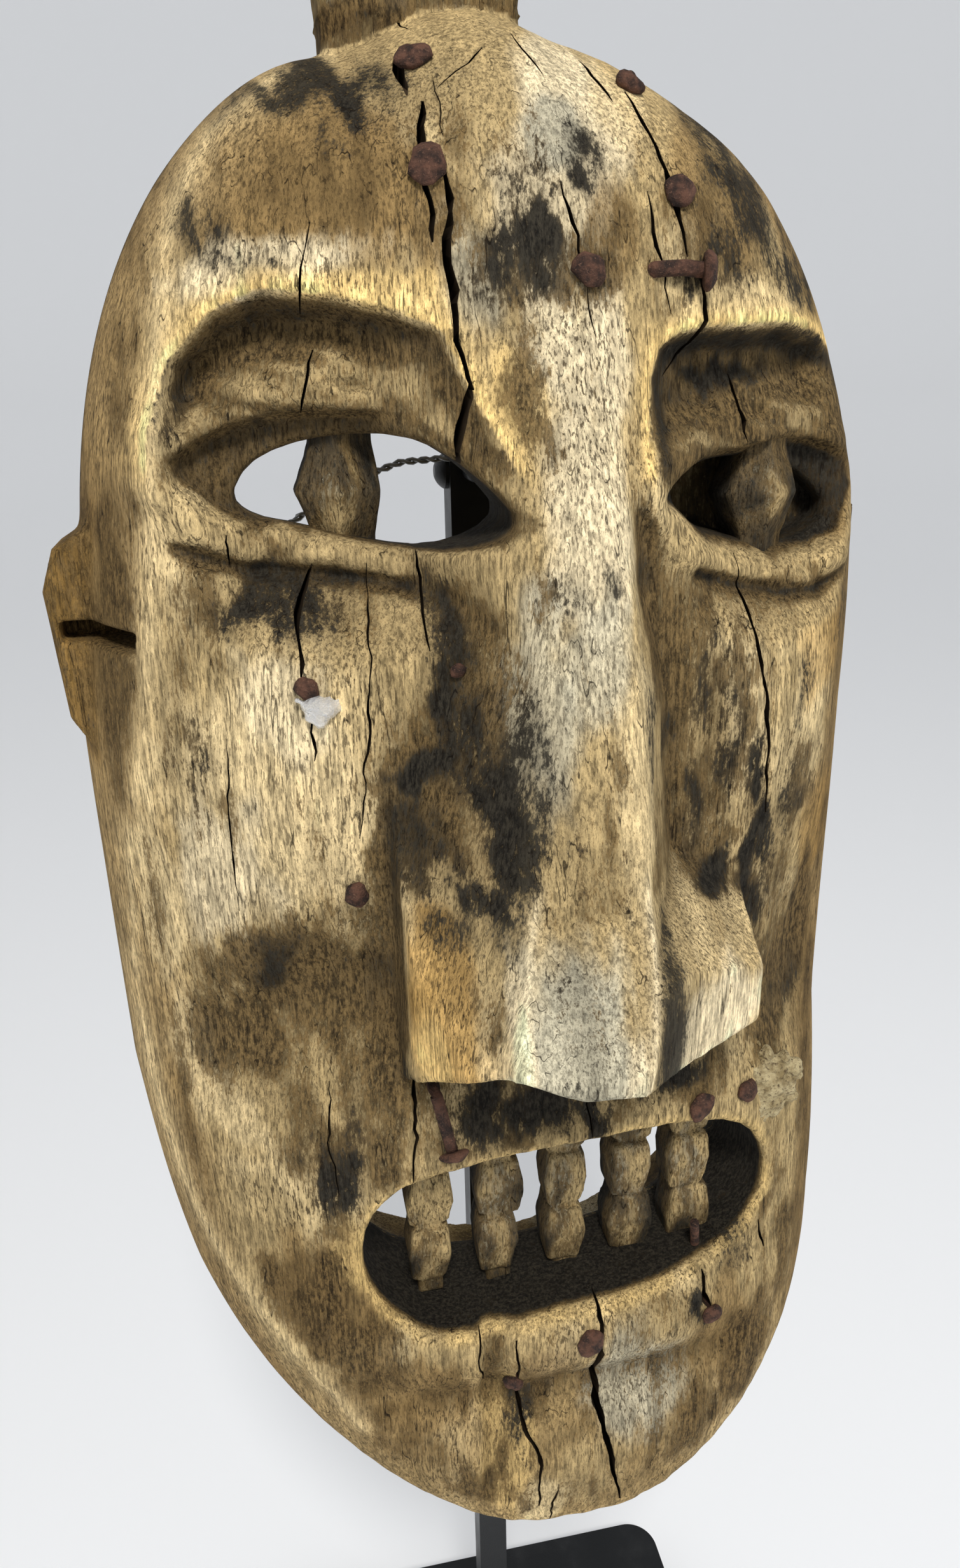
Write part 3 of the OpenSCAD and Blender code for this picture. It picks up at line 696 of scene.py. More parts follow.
# Patches of brown dirt and black soot: the same without a colour. Some are painted shade as well:
# in the eye sockets under the brows, on the upper lip under the nose, and high on the face's left side.
DIRT = [
    (-42, 276, 22, 14, 0.62), (-30, 268, 12, 8, 0.45), (-20, 281, 12, 8, 0.55), (-58, 262, 8, 14, 0.5),
    (-19, 268, 7, 8, 0.45), (6, 266, 7, 7, 0.62), (26, 268, 14, 16, 0.6), (14, 262, 4, 6, 0.5),
    (-8, 273, 8, 6, 0.45), (36, 262, 10, 12, 0.5), (1, 292, 3, 6, 0.35), (15, 247, 4, 12, 0.7),
    (-12, 222, 4, 20, 0.4), (12, 215, 4, 26, 0.6), (20, 205, 6, 16, 0.6), (9, 235, 4, 14, 0.45),
    (-17, 196, 6, 22, 0.65), (-22, 185, 7, 14, 0.6), (-28, 184, 7, 12, 0.8), (-31, 170, 4, 16, 0.95),
    (-29, 150, 4, 18, 0.85), (-42, 210, 18, 7, 0.5, -8), (-54, 208, 8, 8, 0.45), (-66, 205, 5, 22, 0.55),
    (-62, 196, 3, 14, 0.4), (-54, 148, 16, 9, 0.95, 10), (-60, 134, 12, 12, 0.85),
    (-44, 140, 14, 16, 0.62, 30), (-40, 158, 8, 6, 0.45), (-36, 122, 12, 14, 0.62),
    (-48, 112, 10, 14, 0.68, 20), (-42, 96, 8, 10, 0.5), (-50, 74, 10, 14, 0.8, 10),
    (-40, 58, 14, 12, 0.72, 30), (-60, 70, 8, 16, 0.6, 20), (-26, 50, 10, 14, 0.45),
    (-30, 30, 12, 10, 0.5, 35), (-5, 62, 6, 8, 0.5), (20, 66, 12, 6, 0.35), (30, 40, 8, 18, 0.5),
    (42, 40, 8, 20, 0.85), (14, 28, 10, 10, 0.35), (0, 12, 16, 6, 0.4), (54, 140, 10, 20, 0.85),
    (46, 124, 6, 12, 0.8), (56, 180, 8, 16, 0.5), (24, 178, 5, 16, 0.55), (36, 176, 5, 14, 0.5),
    (42, 160, 6, 14, 0.6), (60, 100, 6, 22, 0.7), (30, 212, 14, 5, 0.5), (46, 212, 10, 6, 0.55),
    (-24, 112, 10, 8, 0.6), (4, 114, 12, 6, 0.6), (26, 116, 8, 5, 0.75), (-34, 108, 6, 8, 0.6),
    (56, 60, 8, 18, 0.7), (-76, 140, 4, 30, 0.5), (-74, 212, 6, 30, 0.85), (-47, 222, 20, 3, 0.5, -8),
    (-54, 279, 8, 9, 0.8), (-68, 246, 6, 16, 0.7), (-59, 216, 6, 12, 0.65), (-44, 204, 9, 5, 0.5),
    (-10, 243, 5, 9, 0.8), (-10, 262, 7, 6, 0.75), (-1, 260, 6, 7, 0.75), (-10, 214, 4, 9, 0.6),
    (26, 243, 12, 6, 0.85), (42, 243, 10, 6, 1.0), (38, 253, 8, 4, 0.6), (40, 226, 16, 8, 0.8),
    (42, 210, 12, 8, 0.6), (22, 258, 8, 5, 0.5), (2, 190, 7, 12, 0.5), (8, 178, 5, 14, 0.6),
    (58, 146, 6, 16, 0.5), (-36, 110, 9, 8, 0.7), (-12, 113, 8, 6, 0.7), (46, 84, 6, 14, 0.6),
    (-57, 72, 8, 12, 0.8, 10), (-47, 61, 8, 10, 0.9, 10), (-38, 34, 8, 10, 0.65, 30),
    (28, 26, 12, 12, 0.75), (18, 60, 12, 8, 0.5), (-22, 20, 8, 10, 0.6, 20), (22, 46, 12, 10, 0.45),
    (-34, 76, 7, 8, 0.6), (4, 199, 5, 8, 0.5), (6, 190, 5, 8, 0.65), (-54, 279, 7, 7, 0.9),
    (14, 280, 8, 6, 0.45), (-22, 18, 9, 9, 0.7, 20), (-40, 226, 10, 3, 0.5), (-12, 150, 6, 12, 0.5),
    (14, 240, 4, 9, 0.6), (-58, 222, 6, 5, 0.7), (-55, 206, 8, 8, 0.55), (-66, 240, 5, 14, 0.85),
    (58, 130, 6, 12, 0.5), (30, 190, 4, 16, 0.7), (44, 176, 4, 14, 0.7), (36, 200, 5, 8, 0.55),
    (60, 150, 5, 14, 0.7), (26, 168, 5, 10, 0.6), (50, 168, 5, 12, 0.6), (-50, 222, 12, 3, 0.6),
    (-2, 248, 7, 6, 0.4), (8, 268, 5, 6, 0.55), (32, 236, 16, 6, 0.8), (-18, 244, 3, 8, 0.6),
]
SOOT = [
    (-36, 287, 14, 4, 0.75), (-52, 268, 4, 3, 0.6), (-45, 263, 5, 2.5, 0.6), (-7, 264, 5, 7, 0.75),
    (2, 274, 2.5, 5, 0.9, 10), (32, 274, 7, 16, 0.7, 20), (24, 262, 5, 5, 0.5), (-14, 256, 4, 4, 0.5),
    (-4, 271, 5, 4, 0.4), (20, 262, 5, 3, 0.6), (44, 262, 5, 10, 0.75, 10), (-52, 213, 7, 4, 0.65),
    (-44, 214, 6, 5, 0.6), (-4, 211, 2, 6, 0.45), (3, 219, 3.5, 5, 0.55), (-21, 209, 3, 12, 0.6),
    (-19, 194, 3, 12, 0.62), (-12, 190, 3, 9, 0.6), (9, 192, 2.2, 11, 0.55), (-16, 178, 5, 12, 0.8),
    (-21, 170, 5, 6, 0.85), (-13, 177, 3, 9, 0.7), (-26, 187, 6, 2.5, 0.8), (-29, 172, 3, 10, 0.5),
    (22, 176, 2.5, 8, 0.6), (36, 166, 3, 8, 0.85), (26, 160, 5, 4, 0.8), (40, 154, 3, 8, 0.6),
    (-52, 150, 8, 3, 0.5, 20), (-46, 108, 4, 7, 0.72), (-42, 116, 5, 5, 0.5), (-17, 117, 5, 7, 0.85),
    (-8, 118, 6, 5, 0.9), (2, 117, 4, 5, 0.8), (22, 120, 8, 3, 0.8), (14, 119, 8, 3, 0.6),
    (28, 64, 3, 5, 0.85), (-11, 40, 2, 14, 0.5), (40, 72, 6, 4, 0.4), (54, 126, 5, 8, 0.4),
    (28, 186, 2, 12, 0.6), (34, 178, 2, 10, 0.6), (42, 170, 2.5, 12, 0.55), (46, 192, 2, 8, 0.5),
    (24, 196, 2, 12, 0.5), (-50, 236, 6, 2.5, 0.5), (-60, 246, 3, 6, 0.5), (30, 247, 14, 2.5, 0.55),
    (60, 205, 4, 10, 0.5), (-64, 186, 3, 12, 0.35), (-26, 286, 5, 5, 0.5), (27, 287, 3, 8, 0.5, 30),
]
# The same for the nose's front and wings, which stand well forward of the face.
NOSE_PATCHES = [
    (-8, 148, 10, 20, GREY, 0.95), (-26, 150, 7, 22, AMBER, 0.75), (-28, 140, 3, 10, GOLD, 0.7),
    (-20, 148, 3, 14, PALE, 0.6), (20, 140, 14, 14, CREAM, 0.9), (0, 140, 2, 14, CREAM, 0.8),
    (-17, 146, 1.6, 18, CREAM, 0.9),
]
NOSE_DIRT = [
    (-24, 152, 7, 12, 0.55), (-20, 136, 5, 6, 0.55), (24, 152, 8, 6, 0.5), (8, 150, 5, 12, 0.5),
    (-9, 150, 9, 18, 0.5), (-26, 136, 5, 8, 0.5),
]
NOSE_SOOT = [
    (8, 146, 4.5, 15, 1.05), (-9, 160, 5, 5, 0.5), (-9, 141, 6, 12, 0.5), (-24, 164, 6, 4, 0.7, 20),
    (-17, 166, 4, 5, 0.7), (-15, 156, 2, 8, 0.4),
]


def blend_colour(colour, other, amount):
    amount = np.clip(amount, 0, 1)[:, None]
    return colour * (1 - amount) + np.array(other) * amount


def lay_patches(colour, x, z, patches, ragged, where=1.0):
    """The colour with each patch laid over the last, its edge broken up by ragged."""
    for cx, cz, rx, rz, tone, strength, *turn in patches:
        amount = ease((hill(x, z, cx, cz, rx, rz, *turn) + ragged - 0.3) / 0.4)
        colour = blend_colour(colour, tone, amount * strength * where)
    return colour


def stain(x, z, patches, ragged):
    """How deep the dirt lies at each point: the strongest patch there."""
    deepest = np.zeros(len(x))
    for cx, cz, rx, rz, strength, *turn in patches:
        amount = np.clip(1.1 * hill(x, z, cx, cz, 1.2 * rx, 1.2 * rz, *turn) + 0.8 * ragged, 0, 1)
        deepest = np.maximum(deepest, strength * amount)
    return deepest


def fade_to(values, target, amount):
    """The values moved towards the target, by an amount from 0 to 1."""
    return values + (target - values) * np.clip(amount, 0, 1)


def blurred(values, reach):
    """A grid of values smoothed over reach cells."""
    steps = np.arange(-3 * reach, 3 * reach + 1)
    weights = np.exp(-0.5 * (steps / reach) ** 2)
    weights = weights / weights.sum()
    for axis in range(2):
        padded = np.pad(values, [(3 * reach, 3 * reach) if k == axis else (0, 0) for k in range(2)], "edge")
        values = np.apply_along_axis(np.convolve, axis, padded, weights, "valid")
    return values


def make_bulge_map():
    """How far each place on the face stands proud of its surroundings, near and wide."""
    x, z = np.meshgrid(np.arange(-90.0, 76.0), np.arange(-8.0, 310.0), indexing="ij")
    height = RIM_Y - front_y(x, z)
    return height - blurred(height, 2), height - blurred(height, 7)


BULGE_NEAR, BULGE_WIDE = make_bulge_map()


def on_map(values, x, z):
    """A value of the map, with straight lines between its cells."""
    u, v = np.clip(x + 90, 0, values.shape[0] - 1.001), np.clip(z + 8, 0, values.shape[1] - 1.001)
    i, j = u.astype(int), v.astype(int)
    u, v = u - i, v - j
    low = values[i, j] * (1 - v) + values[i, j + 1] * v
    high = values[i + 1, j] * (1 - v) + values[i + 1, j + 1] * v
    return low * (1 - u) + high * u


class Coat:
    """The wood's colour, brown dirt and black soot at a set of points, and the noise they share.

    The three methods move the colour, the dirt and the soot towards a value by an amount from 0 to 1;
    the dirt and soot carry painted shade as well.
    """

    def __init__(self, points):
        self.x, self.y, self.z = points.T
        x, z = self.x, self.z
        self.ragged = 0.20 * flat_noise(x, z, 5, 9, 41, 4) + 0.08 * flat_noise(x, z, 1.3, 12, 43, 2)
        self.streaks = flat_noise(x, z, 2.2, 60, 47, 3)
        self.clouds = flat_noise(x, z, 12, 20, 53, 4)
        self.skin = dome_depth(x, z) - RIM_Y
        self.nose = nose_height(x, z, self.skin) - self.skin
        self.behind = self.y - front_y(x, z)
        self.in_socket = 0 * x

    def tint(self, other, amount):
        self.colour = blend_colour(self.colour, other, amount)

    def soil_and_shade(self, target, amount):
        self.dirt_and_shade = fade_to(self.dirt_and_shade, target, amount)

    def blacken(self, target, amount):
        self.soot_and_shade = fade_to(self.soot_and_shade, target, amount)


def lay_ground(coat):
    """Clean wood in patches, then stains; the chin is browner, and the side edges browner with stain and
    painted shade.
    """
    x, z, ragged, clouds, streaks = coat.x, coat.z, coat.ragged, coat.clouds, coat.streaks
    # edge marks the face's sides, browned and darkened partly as their own stain, partly as painted shade
    # where they turn from the light.
    edge = ease((np.abs(across(x, z)) - 0.75) / 0.12)
    chin = ease((62 - z) / 14)
    coat.colour = np.tile(np.array(TAN), (len(x), 1))
    coat.tint(PALE, ease(-clouds) * 0.6)
    coat.tint(BROWN, np.maximum(edge * 0.9, 0.55 * chin))
    coat.colour = lay_patches(coat.colour, x, z, PATCHES, ragged)
    bent_x = x + 2.6 * flat_noise(x, z, 6, 9, 67, 4)
    bent_z = z + 4.0 * flat_noise(x, z, 5, 11, 69, 4)
    fine = flat_noise(x, z, 2.5, 9, 63, 3)
    dirt_and_shade = 0.24 + 0.22 * clouds + 0.18 * fine + 0.14 * streaks + 0.12 * chin
    dirt_and_shade = np.maximum(dirt_and_shade, 1.1 * stain(bent_x, bent_z, DIRT, ragged) + 0.14 * fine)
    coat.soot_and_shade = 1.22 * stain(bent_x, bent_z, SOOT, 1.6 * ragged) + 0.12 * ease(clouds * 2 - 0.2)
    dirt_and_shade = np.maximum(dirt_and_shade, 0.9 * coat.soot_and_shade)
    coat.dirt_and_shade = np.maximum(dirt_and_shade, edge * (0.68 + 0.25 * clouds + 0.15 * streaks))


def lay_nose(coat):
    """The nose's own patches and stains, on the part that stands well forward."""
    on_nose = ease((coat.nose - 5) / 5) * ease((169 - coat.z) / 4)
    coat.colour = lay_patches(coat.colour, coat.x, coat.z, NOSE_PATCHES, coat.ragged, on_nose)
    coat.soil_and_shade(stain(coat.x, coat.z, NOSE_DIRT, coat.ragged), on_nose)
    coat.blacken(stain(coat.x, coat.z, NOSE_SOOT, coat.ragged), on_nose)


def lay_eye(coat, eye):
    """Painted shade in the socket, a worn brow edge lit with a painted highlight, a painted shadow under the
    lower lid.
    """
    x, z = coat.x, coat.z
    socket = outline_distance(x, z, eye["brow"] + eye["low"][1:-1])
    brow = line_distance(x, z, eye["brow"])
    lids = outline_distance(x, z, eye["lids"])
    groove = line_distance(x, z, eye["groove"])
    upper = ease((z - eye["level"]) / 6)
    inside = ease(-socket / 2.5)
    outside_lids = inside * ease((lids + 1) / 3)
    in_socket = ease(-socket / 3) * ease((z - eye["level"] + 4) / 6)
    coat.in_socket = np.maximum(coat.in_socket, in_socket)
    under_brow = inside * ease((6.5 - brow) / 4) * upper
    lid = np.exp(-((lids - 4.5) / 2.5) ** 2)
    strokes = flat_noise(x, z + 0.25 * x, 9, 2.2, 83, 4)
    # Painted shade in the socket above the lids, lighter on the upper lid's bulge and darkest under the brow.
    coat.tint(TAN, outside_lids * 0.8)
    coat.soil_and_shade(eye["dirt_and_shade"] - 0.16 * lid + 0.26 * strokes, outside_lids * upper)
    coat.soil_and_shade(0.9, under_brow)
    coat.blacken(eye["soot_and_shade"] + 0.5 * coat.ragged, under_brow)
    # A painted highlight along the brow's edge, on wood worn golden there.
    edge = np.where(socket > -0.6, np.exp(-brow / 1.7), 0) * ease((z - eye["level"] + 2) / 8)
    coat.tint(GOLD, edge * 1.2)
    coat.soil_and_shade(0.08, edge * 1.1)
    coat.blacken(0.0, edge)
    # A painted shadow in the groove under the lower lid.
    coat.soil_and_shade(0.95, np.exp(-(groove / 1.3) ** 2))
    coat.blacken(0.55 + 0.8 * coat.ragged, np.exp(-(groove / 0.8) ** 2))
    # Painted shade along the upper lid's inner edge and inside the lids' opening.
    coat.soil_and_shade(0.85, ease((1.8 - lids) / 1.6) * upper * ease(lids + 1))
    coat.soil_and_shade(eye["inner"], ease(-lids))
    coat.blacken(eye["inner"] - 0.4, ease(-lids / 1.2))


def wear_edges_and_shade_under_nose(coat):
    """The crease round the face and the nose's facets are worn pale; the nose's underside is painted black as
    shade.
    """
    x, z = coat.x, coat.z
    bright = np.exp(-line_distance(x, z, CREASE) / 2.6) * ease(coat.ragged * 2 + 0.9)
    coat.tint(PALE, bright * 0.7)
    coat.soil_and_shade(0.2, bright * 0.7)
    ridge_edge = np.minimum(np.abs(x - lookup(z, NOSE_EDGE_LEFT)), np.abs(x - lookup(z, NOSE_EDGE_RIGHT)))
    worn = np.exp(-ridge_edge / 0.9) * ease((coat.nose - 10) / 6)
    worn = worn * ease((z - 118) / 6) * ease((176 - z) / 8)
    coat.tint(CREAM, worn * 0.8)
    coat.soil_and_shade(0.1, worn)
    coat.blacken(0.1, worn)
    # Painted shade: the nose's underside is blackened.
    coat.blacken(0.78, ease((lookup(x, NOSE_UNDER) + 7 - z) / 5) * ease((coat.nose - 0.5) / 2))


def paint_hollow_shade_and_bulge_highlights(coat):
    """Painted shade, with some dirt, in the hollows of the carving; a painted highlight on its bulges."""
    near, wide = on_map(BULGE_NEAR, coat.x, coat.z), on_map(BULGE_WIDE, coat.x, coat.z)
    on_face = ease(1 - coat.behind / 3)
    # Painted shade, with some dirt, in the hollows of the relief.
    hollow_dirt_and_shade = on_face * np.clip(-0.30 * near - 0.055 * wide, -0.35 + 0.3 * coat.in_socket, 0.4)
    coat.dirt_and_shade = coat.dirt_and_shade + hollow_dirt_and_shade
    coat.soot_and_shade = coat.soot_and_shade + 0.5 * np.maximum(hollow_dirt_and_shade, 0)
    # lit brightens the colour on bulges and darkens it in hollows: painted highlight and painted shade.
    lit = on_face * np.clip(0.14 * near + 0.03 * wide, -0.35, 0.3 - 0.25 * coat.in_socket)
    coat.colour = coat.colour * (1 + lit)[:, None]


def darken_openings(coat):
    """The slot's lips are worn; its walls, the eye holes' walls and the hollow behind get painted shade."""
    x, y, z = coat.x, coat.y, coat.z
    slot = outline_distance(x, z, MOUTH)
    lip = np.exp(-((slot - 0.8) / 1.4) ** 2) * ease(coat.ragged * 3 + 0.8)
    coat.tint(GOLD, lip * 0.6)
    coat.soil_and_shade(0.15, lip * 0.8)
    holes = [outline_distance(x, z, eye["hole"]) for eye in EYES]
    near_hole = np.minimum(slot, np.minimum(*holes))
    # Painted shade on the walls of the slot and the eye holes.
    wall = ease((coat.behind - 1.0) / 2.5) * ease((3 - near_hole) / 1.5)
    coat.soil_and_shade(1.1, wall)
    coat.blacken(1.25, wall * ease((coat.behind - 1.5) / 3) * ease((3 - slot) / 1.5))
    coat.blacken(0.85, wall * ease((coat.behind - 2.5) / 4) * ease((slot - 3) / 1.5))
    # Painted shade over the inside of the rear hollow, blackest near the openings.
    half, deep = hollow_size(z, HOLLOW_HALF + 2.5, HOLLOW_DEEP + 2, 1)
    reach = (np.abs(x - lookup(z, RIM_X)) / half) ** HOLLOW_POWER
    reach = reach + (np.maximum(0, RIM_Y - y) / deep) ** HOLLOW_POWER
    hidden = ease((1.04 - reach) / 0.04)
    coat.soil_and_shade(0.62 + 0.3 * coat.clouds, hidden)
    coat.blacken(0.42 + 0.4 * coat.clouds, hidden)
    coat.blacken(0.9, hidden * ease((14 - near_hole) / 10) * ease((near_hole + 2) / 2))


def lay_back(coat):
    """The rear rim, the crest and the left ear with its notch."""
    x, y, z, clouds, streaks = coat.x, coat.y, coat.z, coat.clouds, coat.streaks
    rim = ease((y - 44) / 6)
    coat.tint(TAN, rim * 0.5)
    coat.soil_and_shade(0.4 + 0.25 * clouds, rim)
    coat.blacken(0.1 + 0.3 * clouds, rim)
    crest = ease((z - 300) / 2) * ease((y - 36) / 2)
    coat.tint(TAN, crest)
    coat.tint(GREY, crest * ease(streaks) * 0.6)
    coat.soil_and_shade(0.62 + 0.3 * clouds - 0.012 * (x + 18), crest)
    coat.blacken(0.2 + 0.2 * streaks, crest)
    ear = ease((12 - np.abs(x + 78)) / 3) * ease((y - 30) / 3) * ease((z - 180) / 4) * ease((230 - z) / 4)
    coat.tint(AMBER, ear * 0.6)
    coat.soil_and_shade(0.62 + 0.25 * clouds + 0.15 * streaks, ear)
    notch = ease((y - 36) / 2) * ease((43 - y) / 2) * ease((-66 - x) / 2) * ease(z - 199) * ease(212 - z)
    coat.soil_and_shade(1.0, notch)


def wood_paint(points):
    """The wood's colour and its dirt, soot and polish at each point, with painted shade and highlights in
    colour, dirt and soot.
    """
    coat = Coat(points)
    lay_ground(coat)
    lay_nose(coat)
    for eye in EYES:
        lay_eye(coat, eye)
    wear_edges_and_shade_under_nose(coat)
    paint_hollow_shade_and_bulge_highlights(coat)
    darken_openings(coat)
    lay_back(coat)
    tone = 1 + 0.14 * coat.streaks + 0.08 * flat_noise(coat.x, coat.z, 3, 5, 61, 3)
    polish = np.clip(0.35 + 0.3 * coat.clouds, 0, 0.6)
    return coat.colour * tone[:, None], np.stack([coat.dirt_and_shade + 0.06 * coat.streaks, coat.soot_and_shade, polish], -1)


def set_paint(piece, colours, wear_and_shade):
    for name, values in (("paint", colours), ("wear_and_shade", wear_and_shade)):
        attribute = piece.data.color_attributes.new(name, "FLOAT_COLOR", "POINT")
        attribute.data.foreach_set("color", np.c_[np.clip(values, 0, 1), np.ones(len(values))].ravel())


# ---- Cracks: thin wedges taken out of the wood
# Each crack: its route across and up the face, its greatest width, its depth.
CRACKS = [
    # crest, crown and forehead, left of the middle
    ([(-24.5, 316), (-24, 309), (-21.5, 303), (-19.5, 297)], 0.9, 9),
    ([(-22.5, 292), (-22.5, 288), (-22.5, 285)], 1.3, 12),
    ([(-20.5, 284), (-21.3, 280), (-21.8, 275)], 1.3, 12),
    ([(-22, 274), (-20.8, 269), (-21, 265)], 1.2, 11), ([(-18.5, 287), (-18.3, 279)], 0.5, 4),
    ([(-18.7, 276), (-18.4, 270), (-19, 263), (-18.5, 255), (-17.5, 249), (-16.4, 245)], 1.5, 13),
    ([(-16.8, 246), (-18, 239), (-18.6, 232)], 1.4, 12), ([(-10.5, 292), (-14, 289), (-18, 286)], 0.6, 4),
    ([(-38, 268), (-40, 260), (-40, 256)], 0.4, 3), ([(-38.5, 251), (-40, 246), (-41, 242)], 0.5, 4),
    # forehead, right of the middle
    ([(12, 287), (13.5, 281), (15.5, 275), (17, 270), (18.3, 263)], 1.2, 11),
    ([(20.6, 261), (21.6, 254), (19.5, 250), (15, 246)], 0.9, 8),
    ([(12, 272), (13.3, 264), (15.4, 255)], 0.7, 5), ([(-1.8, 273), (-0.2, 267), (0.6, 262)], 0.7, 5),
    ([(1.5, 259), (2.4, 252)], 0.45, 4), ([(-5, 295), (-2, 288)], 0.5, 4), ([(6, 292), (9, 285)], 0.9, 3),
    ([(30, 246), (31, 241), (33, 235)], 1.0, 7),
    # cheeks
    ([(-41, 219), (-43.6, 213), (-44.5, 207), (-44, 201)], 1.1, 8), ([(-43, 197), (-43.4, 189)], 0.5, 4),
    ([(-24.5, 222), (-24.6, 214), (-24, 206)], 0.6, 5),
    ([(-32.5, 219), (-34, 199), (-36, 182), (-37, 175)], 0.45, 4),
    ([(31, 217), (33, 205), (35, 196), (36.5, 187), (38, 170)], 0.9, 7),
    ([(-54, 224), (-54, 219)], 0.5, 4), ([(-57, 192), (-58, 178), (-58, 160)], 0.4, 3),
    ([(-45, 125), (-46, 112), (-45, 100)], 0.4, 3),
    # lip and chin
    ([(-29.5, 128), (-30.2, 116), (-31, 104)], 0.9, 7), ([(-19, 66), (-19.5, 58), (-18, 48)], 0.6, 5),
    ([(5, 71), (5.5, 62), (5, 50), (6, 38), (9, 24), (12, 8)], 1.5, 13),
    ([(-12, 63), (-11.5, 50), (-11, 40), (-7, 28), (-7, 12)], 1.0, 5),
    ([(29, 69), (29.6, 63), (31, 58)], 2.0, 7), ([(2, 122), (3, 111)], 0.5, 4),
    ([(-3, 20), (-4, 4)], 0.6, 4), ([(44, 74), (46, 66)], 0.7, 4),
]


def crack_cutter(route, width, depth, seed):
    """A wedge along a wandering route: widest midway, closing at both ends and with depth."""
    route = np.array(route, float)
    lengths = np.r_[0, np.cumsum(np.hypot(*np.diff(route, axis=0).T))]
    count = max(6, int(lengths[-1] / 1.6))
    along = np.linspace(0, lengths[-1], count)
    x, z = np.interp(along, lengths, route[:, 0]), np.interp(along, lengths, route[:, 1])
    t = along / lengths[-1]
    x = x + 0.4 * flat_noise(t * 0 + seed, along, 1, 3.5, seed, 3) * np.sin(np.pi * t) ** 0.3
    opening = width * np.sin(np.pi * np.clip(t, 0.02, 0.98)) ** 0.45
    opening = opening * (0.8 + 0.35 * flat_noise(t * 0, along, 1, 2.5, seed + 9, 2))
    opening = np.maximum(opening, 0.12)
    y = front_y(x, z)
    deep = depth * np.sin(np.pi * np.clip(t, 0.05, 0.95)) ** 0.5
    parts = Parts()
    parts.tube([[(x[k] - opening[k] * 0.62, y[k] - 4, z[k]), (x[k] + opening[k] * 0.62, y[k] - 4, z[k]),
                 (x[k] + opening[k] * 0.42, y[k] + deep[k] * 0.5, z[k]), (x[k], y[k] + deep[k], z[k]),
                 (x[k] - opening[k] * 0.42, y[k] + deep[k] * 0.5, z[k])] for k in range(count)])
    faces = [face[::-1] for face in parts.faces] if z[-1] < z[0] else parts.faces
    return mesh_object("crack_cutter", parts.points, faces, [CRACK], smooth=False)


def cut_cracks(piece):
    cutters = [crack_cutter(*crack, 100 + 7 * k) for k, crack in enumerate(CRACKS)]
    for cutter in cutters:
        boolean = piece.modifiers.new("crack", "BOOLEAN")
        boolean.operation = "DIFFERENCE"
        boolean.solver = "MANIFOLD"
        boolean.object = cutter
        apply_modifier(piece, "crack")
        bpy.data.objects.remove(cutter)


points, faces = solid_from_field(wood_field, (-92, -44, -8), (78, 56, 366))
wood = mesh_object("carved_wood", points, faces, [CARVED_WOOD, CRACK])
cut_cracks(wood)
set_paint(wood, *wood_paint(mask_points(wood.data)))
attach(wood, "mask")
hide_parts("mask_shell")

# ---- Bars of wood in the eyes and the mouth
BAR_STEP = 0.45


def carved_bar(name, node, field_at, low, high, seed):
    """A small carved piece with its own paint, with painted shade towards the back and the teeth's lower
    ends.
    """
    points, faces = solid_from_field(field_at, low, high, BAR_STEP)
    piece = mesh_object(name, points, faces, [BAR_WOOD])
    x, y, z = points.T
    clouds = flat_noise(x + y, z, 4, 9, seed, 4)
    colour = blend_colour(np.tile(np.array(TAN), (len(x), 1)), GREY, ease(clouds + 0.4) * 0.8)
    # Painted shade: shade darkens the teeth's lower ends and the pupils evenly, and the back terms darken the
    # far side.
    shade = ease((low[2] + 26 - z) / 26) if low[2] < 100 else 0.3
    dirt_and_shade = 0.5 + 0.3 * clouds + 0.6 * ease((y - low[1] - 4) / 6) + 0.25 * shade
    soot_and_shade = 0.2 + 0.35 * clouds + 0.5 * ease((y - low[1] - 6) / 6) + 0.35 * shade
    set_paint(piece, colour, np.stack([dirt_and_shade, soot_and_shade, 0.2 + 0 * x], -1))
    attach(piece, "mask")
    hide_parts(node)


TOOTH_X = [-27, -12.5, 2, 16, 29]
TOOTH_W, TOOTH_Y, TOOTH_DEEP = 8.5, 11.0, 10.0
TOOTH_LOW, TOOTH_BLOCK = 68.5, 14.0


def tooth_field(n):
    """Three knuckles on one bar, each leaning its own way."""
    def field(x, y, z):
        solid = np.maximum(np.abs(x - TOOTH_X[n]) - TOOTH_W / 2 + 1.6, np.abs(y - TOOTH_Y - 6) - 4 + 0 * z)
        for k in range(3):
            lean = math.sin(5.1 * n + 2.3 * k)
            middle = TOOTH_LOW + (k + 0.5) * TOOTH_BLOCK
            up = (z - middle) / TOOTH_BLOCK
            half = TOOTH_W / 2 + 0.3 * lean + 0.9 * (0.2 - np.abs(up + 0.1 * lean)) * 2
            side = np.abs(x - TOOTH_X[n] - 0.5 * lean - 0.6 * up) - half
            front = TOOTH_Y + 0.4 * lean + 2.6 * np.abs(up - 0.12) - y
            knuckle = soft_max(side, front, 0.9)
            knuckle = soft_max(knuckle, y - TOOTH_Y - TOOTH_DEEP, 0.9)
            knuckle = soft_max(knuckle, np.abs(z - middle) - TOOTH_BLOCK / 2 + 0.3, 0.9)
            solid = soft_min(solid, knuckle, 0.7)
        ends = np.abs(z - TOOTH_LOW + 1 - 1.5 * TOOTH_BLOCK) - 1.5 * TOOTH_BLOCK - 3
        grain = 0.22 * flat_noise(x[:, 0, :] + n * 17, z[:, 0, :], 1.6, 9, 71)[:, None, :]
        return np.maximum(solid, ends) + grain
    return field


